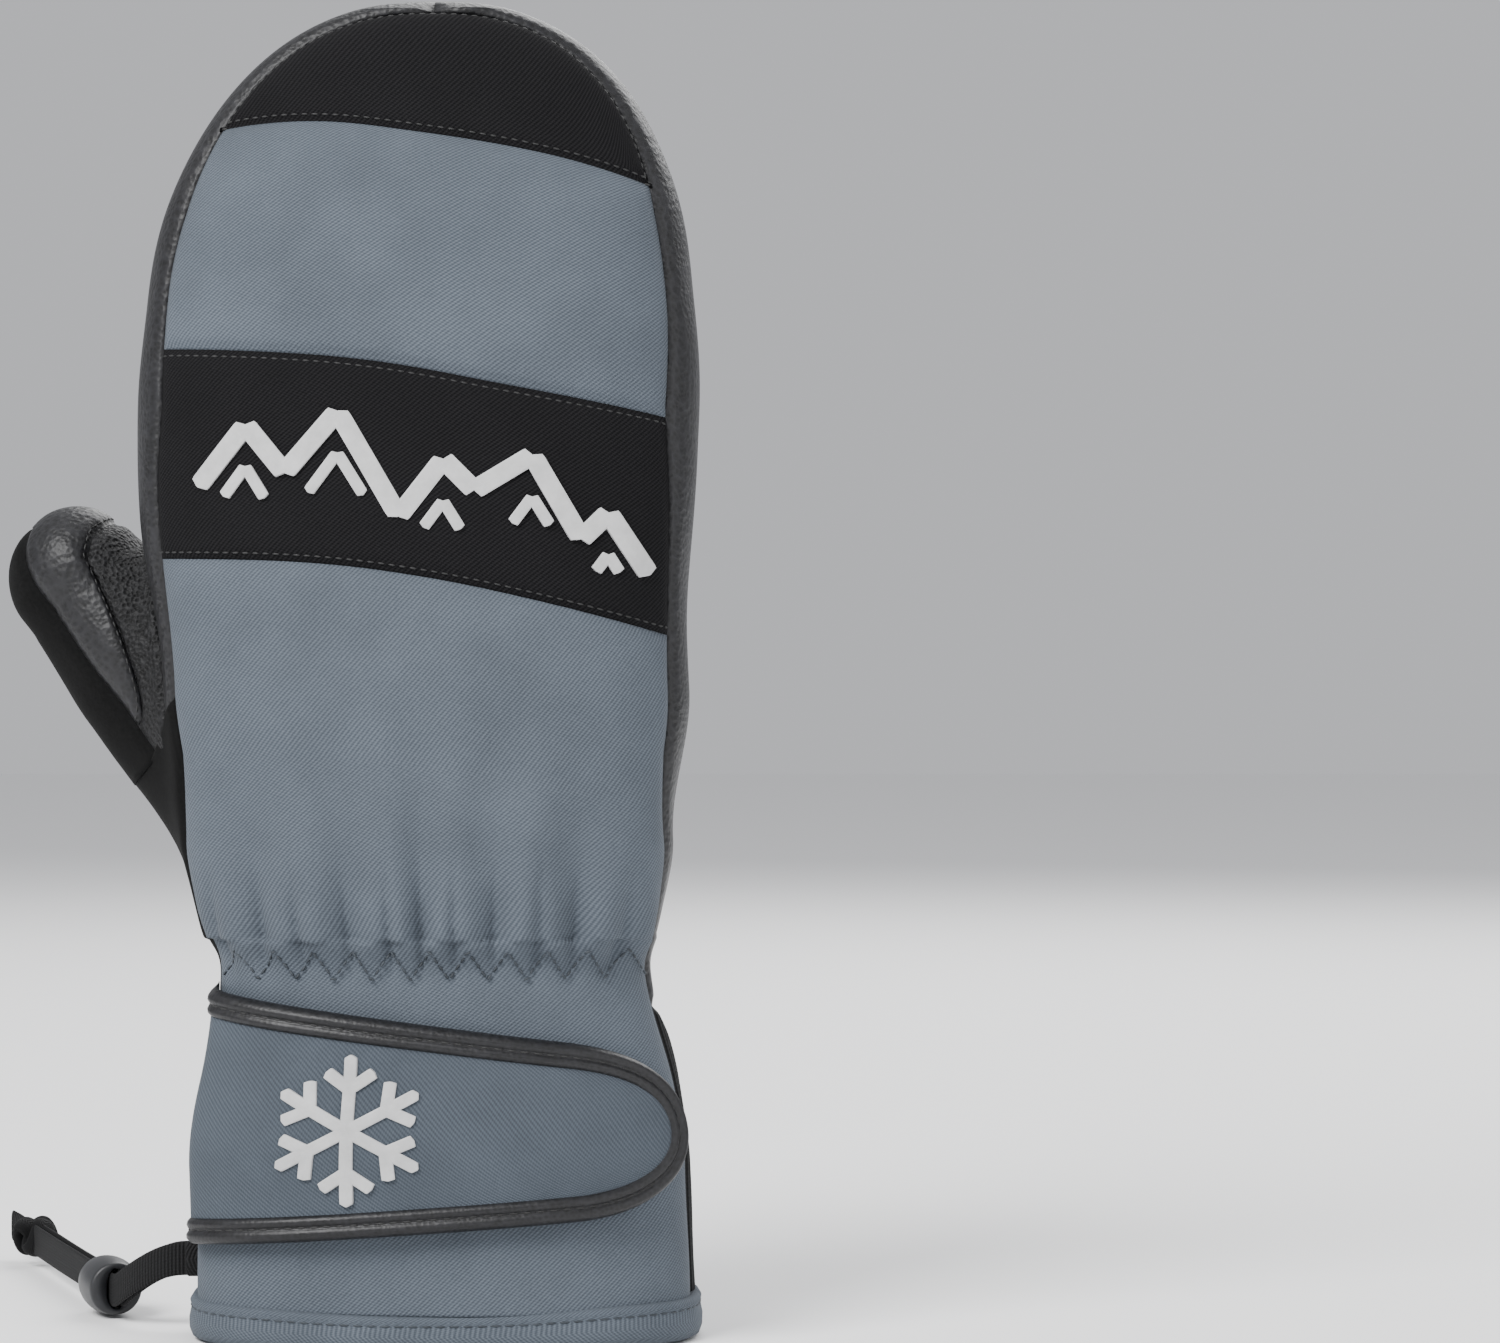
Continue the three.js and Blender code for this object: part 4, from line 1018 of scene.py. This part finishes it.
# ---- raised prints ----
def barOn(lift, start, stop, width, low, high, columns=26):
    # one flat bar with softened edges from start to stop, lifted by a function of x, z and distance
    start, stop = np.array(start, dtype=float), np.array(stop, dtype=float)
    way = unit(stop - start)
    aside = np.array([-way[1], way[0]])
    s = np.linspace(0, 1, columns)
    half = width / 2 * np.sqrt(np.clip(1 - ((np.abs(s - 0.5) - 0.5 + 0.06) / 0.06).clip(0, 1) ** 2, 0.02, 1))
    across = np.array([-1, -1, -0.8, 0, 0.8, 1, 1, 0.0])
    height = np.array([low, high - 0.12, high, high + 0.05, high, high - 0.12, low, low])
    middle = start + way * (s * np.linalg.norm(stop - start))[:, None, None]
    flat = middle + aside * (half[:, None] * across[None])[..., None]
    return lift(flat[..., 0], flat[..., 1], height[None] + 0 * flat[..., 0])


def joinedBars(name, grids, material, body, slot, node):
    places, faces, count = [], [], 0
    for p in grids:
        rows, columns = p.shape[:2]
        faces += (gridFaces(rows, columns, closedColumns=True) + count).tolist()
        ends = [range(columns - 1, -1, -1), range((rows - 1) * columns, rows * columns)]
        faces += [[count + k for k in end] for end in ends]
        places.append(p.reshape(-1, 3))
        count += rows * columns
    place(meshObject(name, np.vstack(places), faces, materials[material], smooth=False), body, slot, node)


crystal = {"x": -18.6, "z": 50.5, "reach": 17.0, "bar": 2.7}
crystalMiddle = np.array([flatX(crystal["x"]), crystal["z"]])
crystalBars = []


def reached(base, length, angle):
    return base[0] + length * math.cos(angle), base[1] + length * math.sin(angle)


for angle in (arm * math.pi / 3 + math.pi / 6 for arm in range(6)):
    fork = reached((0, 0), 0.55 * crystal["reach"], angle)
    ends = [((0, 0), reached((0, 0), crystal["reach"], angle))]
    ends += [(fork, reached(fork, 0.38 * crystal["reach"], angle + turn)) for turn in (-0.95, 0.95)]
    for start, stop in ends:
        bar = barOn(wrapped, crystalMiddle + start, crystalMiddle + stop, crystal["bar"], 4.9, 5.75)
        crystalBars.append(bar)
joinedBars("snowCrystal", crystalBars, "lightPrint", "strap", "light_print", "strap_emblem")


def onBand(x, z, away):
    # x and z lifted onto the back of the hand, a distance away from it
    y = heightOver(x, z, -1)
    step = 0.2
    slopeX, slopeZ = (heightOver(x + step, z, -1) - y) / step, (heightOver(x, z + step, -1) - y) / step
    slope = np.stack([slopeX, np.full(x.shape, -1.0), slopeZ], -1)
    return np.stack([x, y, z], -1) + unit(slope) * away[..., None]


ridge = [(-55, 196), (-44, 210), (-35, 199), (-23, 213), (-9, 189), (1, 202), (8, 195), (21, 203), (32, 184),
         (38, 190), (47, 176)]
ridgeBars = [barOn(onBand, a, b, 4.4, 0.2, 1.15) for a, b in zip(ridge[:-1], ridge[1:])]
for (x, z), size in zip(ridge[1::2], (9, 12, 8, 8, 5)):
    # a small chevron under each peak
    peak, left, right = z - 9.5, x - size * 0.55, x + size * 0.5
    ridgeBars.append(barOn(onBand, (left, peak - size * 0.75), (x, peak), 2.6, 0.2, 1.05))
    ridgeBars.append(barOn(onBand, (x, peak), (right, peak - size * 0.8), 2.6, 0.2, 1.05))
joinedBars("mountainRidge", ridgeBars, "lightPrint", "hand", "light_print", "band_print")
print("prints made")


# ---- label and clip, drawn flat in x and z of their own leaning frame, with y outwards ----
label = {"place": (-13, 33.6, 29), "lean": math.radians(17.4), "cuffLean": math.atan2(5, 56), "width": 15,
         "length": 40}
cosA, sinA = math.cos(label["cuffLean"]), math.sin(label["cuffLean"])
cosB, sinB = math.cos(label["lean"]), math.sin(label["lean"])
turnX = np.array([[1, 0, 0], [0, cosA, -sinA], [0, sinA, cosA]])
turnY = np.array([[cosB, 0, sinB], [0, 1, 0], [-sinB, 0, cosB]])
labelTurn = turnX @ turnY


def onLabel(p):
    return np.asarray(p) @ labelTurn.T + label["place"]


barZ, barY = label["length"] + 1.2, 2.0
fold = np.linspace(-np.pi * 0.5, np.pi * 1.28, 26)
outerFold = np.stack([barY + 1.75 * np.cos(fold), barZ + 1.75 * np.sin(fold)], -1)
profile = np.vstack([[(1.75, 0.0), (1.95, 10), (2.0, 25), (2.3, 36), (3.3, 39.2)], outerFold[6:20],
                     [(0.5, 38.5), (0.3, 30), (0.25, 12), (0.3, 0.0)]])
profile = evenly(np.vstack([profile, profile[:1]]), 140)[:-1]
across = np.linspace(-1, 1, 34)
p = np.broadcast_arrays(across[:, None] * label["width"] / 2, profile[None, :, 0], profile[None, :, 1])
p = np.stack(p, -1)
tapePiece = cappedTube("labelTape", onLabel(p), materials["webbing"], flip=True)
place(tapePiece, "hand", "webbing", "label_tape")


def onTape(x, z, away):
    return onLabel(np.stack([x, away, z], -1))


labelBars = []
for z in (5.0 + 4.3 * k for k in range(7)):
    for a, b in (((-4.2, z), (0, z + 2.6)), ((0, z + 2.6), (4.2, z))):
        labelBars.append(barOn(onTape, a, b, 1.3, 1.85, 2.45))
labelBars += [barOn(onTape, (x, 3), (x, 34), 0.5, 1.85, 2.3) for x in (6.2, -6.2)]
joinedBars("labelPattern", labelBars, "lightPrint", "hand", "light_print", "label_print")

clip = {"thick": 2.6, "round": 0.45, "slotHalf": 8.2, "slotFoot": 0.9, "slotTop": 10.4}
r, slotHalf = clip["round"], clip["slotHalf"]
corner = bezier([(-10.4, 0), (-12, 3.6), (-15.5, 3.6), (-16.2, 0.6)], 14)
ear = bezier([(-17.4, 17.6), (-17.2, 11.6), (-11.4, 10.4), (-9.6, 13.4)], 18)
roundEar = [(-20.4 + 1.5 * (1 - math.cos(a)), 16.1 + 1.5 * math.sin(a)) for a in np.linspace(0, math.pi / 2, 7)]
plateLine = [(10.0, 0.0), (-10.4, 0.0), *corner[1:].tolist(), (-16.8, -0.6), (-17.4, -0.9), (-19.9, -0.9),
             (-20.4, -0.4), *roundEar, *ear.tolist(), (10.0, 13.4), (10.6, 12.8), (10.6, 0.6)]
slotLine = [(-slotHalf, clip["slotFoot"]), (slotHalf, clip["slotFoot"]), (slotHalf, clip["slotTop"]),
            (-slotHalf, clip["slotTop"])]
flatCurve = bpy.data.curves.new("clipOutline", "CURVE")
flatCurve.dimensions, flatCurve.fill_mode = "2D", "BOTH"
flatCurve.extrude, flatCurve.bevel_depth = (clip["thick"] / 2 - r) / 1000, r / 1000
flatCurve.bevel_resolution, flatCurve.offset = 2, -r / 1000
for line in (plateLine, slotLine):
    spline = flatCurve.splines.new("POLY")
    spline.points.add(len(line) - 1)
    for point, (x, z) in zip(spline.points, line):
        point.co = (x / 1000, z / 1000, 0, 1)
    spline.use_cyclic_u = True
curveObject = linked("clipCurve", flatCurve)
clipMesh = bpy.data.meshes.new_from_object(curveObject.evaluated_get(bpy.context.evaluated_depsgraph_get()))
bpy.data.objects.remove(curveObject)
co = np.empty(len(clipMesh.vertices) * 3)
clipMesh.vertices.foreach_get("co", co)
co = co.reshape(-1, 3) * 1000
own = np.stack([co[:, 0], barY + co[:, 2], barZ + co[:, 1]], -1)
clipMesh.vertices.foreach_set("co", (onLabel(own) / 1000 + hemMiddle).ravel())
clipMesh.flip_normals()
clipMesh.materials.clear()
clipMesh.materials.append(materials["clipPlastic"])
clipMesh.name = "clip"
place(linked("clip", clipMesh), "clip", "clip_plastic", "mitten_clip")
print("label and clip made")


# ---- stitching ----
away, out = (0.0, -1.0, 0.0), (0.0, 1.0, 0.0)
for name, grid, edge in (("tipFoot", tipPanel, 2), ("bandTop", bandPanel, 3), ("bandFoot", bandPanel, 2),
                         ("tipEdge", tipPanel, 3)):
    stitches("stitch_" + name, insetLine(grid, edge, 1.7), "hand", away, pitch=2.4)
for name, grid, edge, distance, body, lift in (
        ("thumbArc0", rootPanel, 2, 2.0, "thumbRoot", out), ("thumbArc1", rootPanel, 2, 4.2, "thumbRoot", out),
        ("palmArc", palmPanel[18:150], 0, 1.6, "hand", out),
        ("palmOuter", palmPanel, 1, 1.6, "hand", (0.7, 0.7, 0.0)),
        ("palmOver", palmPanel, 3, 1.6, "hand", (0.0, 0.8, 0.6)),
        ("thumbSoft", thumbPalm, 0, 1.6, "thumbRoot", out), ("cap", capPanel, 2, 1.6, "thumbRoot", out)):
    stitches("stitch_" + name, insetLine(grid, edge, distance), body, lift)

# hem's running stitch, round the whole cuff on the binding's upper roll
hemPitch = 3.1
hemLine = np.vstack([hemGrid[3], hemGrid[3, :1]])
count = int(np.linalg.norm(np.diff(hemLine, axis=0), axis=1).sum() / hemPitch)
hemLift = unit((evenly(hemLine, count * 4 + 1)[2::4] - hemLine.mean(0)) * [1, 1, 0])
stitches("stitch_hem", hemLine, "hand", hemLift, pitch=hemPitch, length=2.3, radius=0.3, color="blueThread")

# binding's groove stitch
grooveLine = bindingGrid[6:-6, 7] * 1.0
grooveLine[:, 1] -= 0.1
stitches("stitch_binding", grooveLine, "strapRoot", away, pitch=3.0, length=2.1, radius=0.3)

# zigzag over the wrist elastic
zig = np.arange(-50, 48.1, gather["pitch"] / 2)
zigZ = np.where(np.arange(len(zig)) % 2 == 0, 84.0, 90.5)
zigLine = evenly(np.stack([zig, zigZ], -1), 420)
zigBase = onBand(zigLine[:, 0], zigLine[:, 1], np.zeros(420))
zigLift = onBand(zigLine[:, 0], zigLine[:, 1], gathers(zigBase) + 1.0)
stitches("stitch_zigzag", zigLift, "hand", away, pitch=2.2, length=1.75, radius=0.3, color="blueThread")
print("stitching made")


# ---- CAD pieces that stay, with their finishes ----
finishes = {"hand_insulation": "wadding", "thumb_insulation": "wadding", "wrist_elastic": "elastic",
            "thumb_lining": "fleece"}
for node, material in finishes.items():
    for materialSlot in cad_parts[node].material_slots:
        materialSlot.material = materials[material]
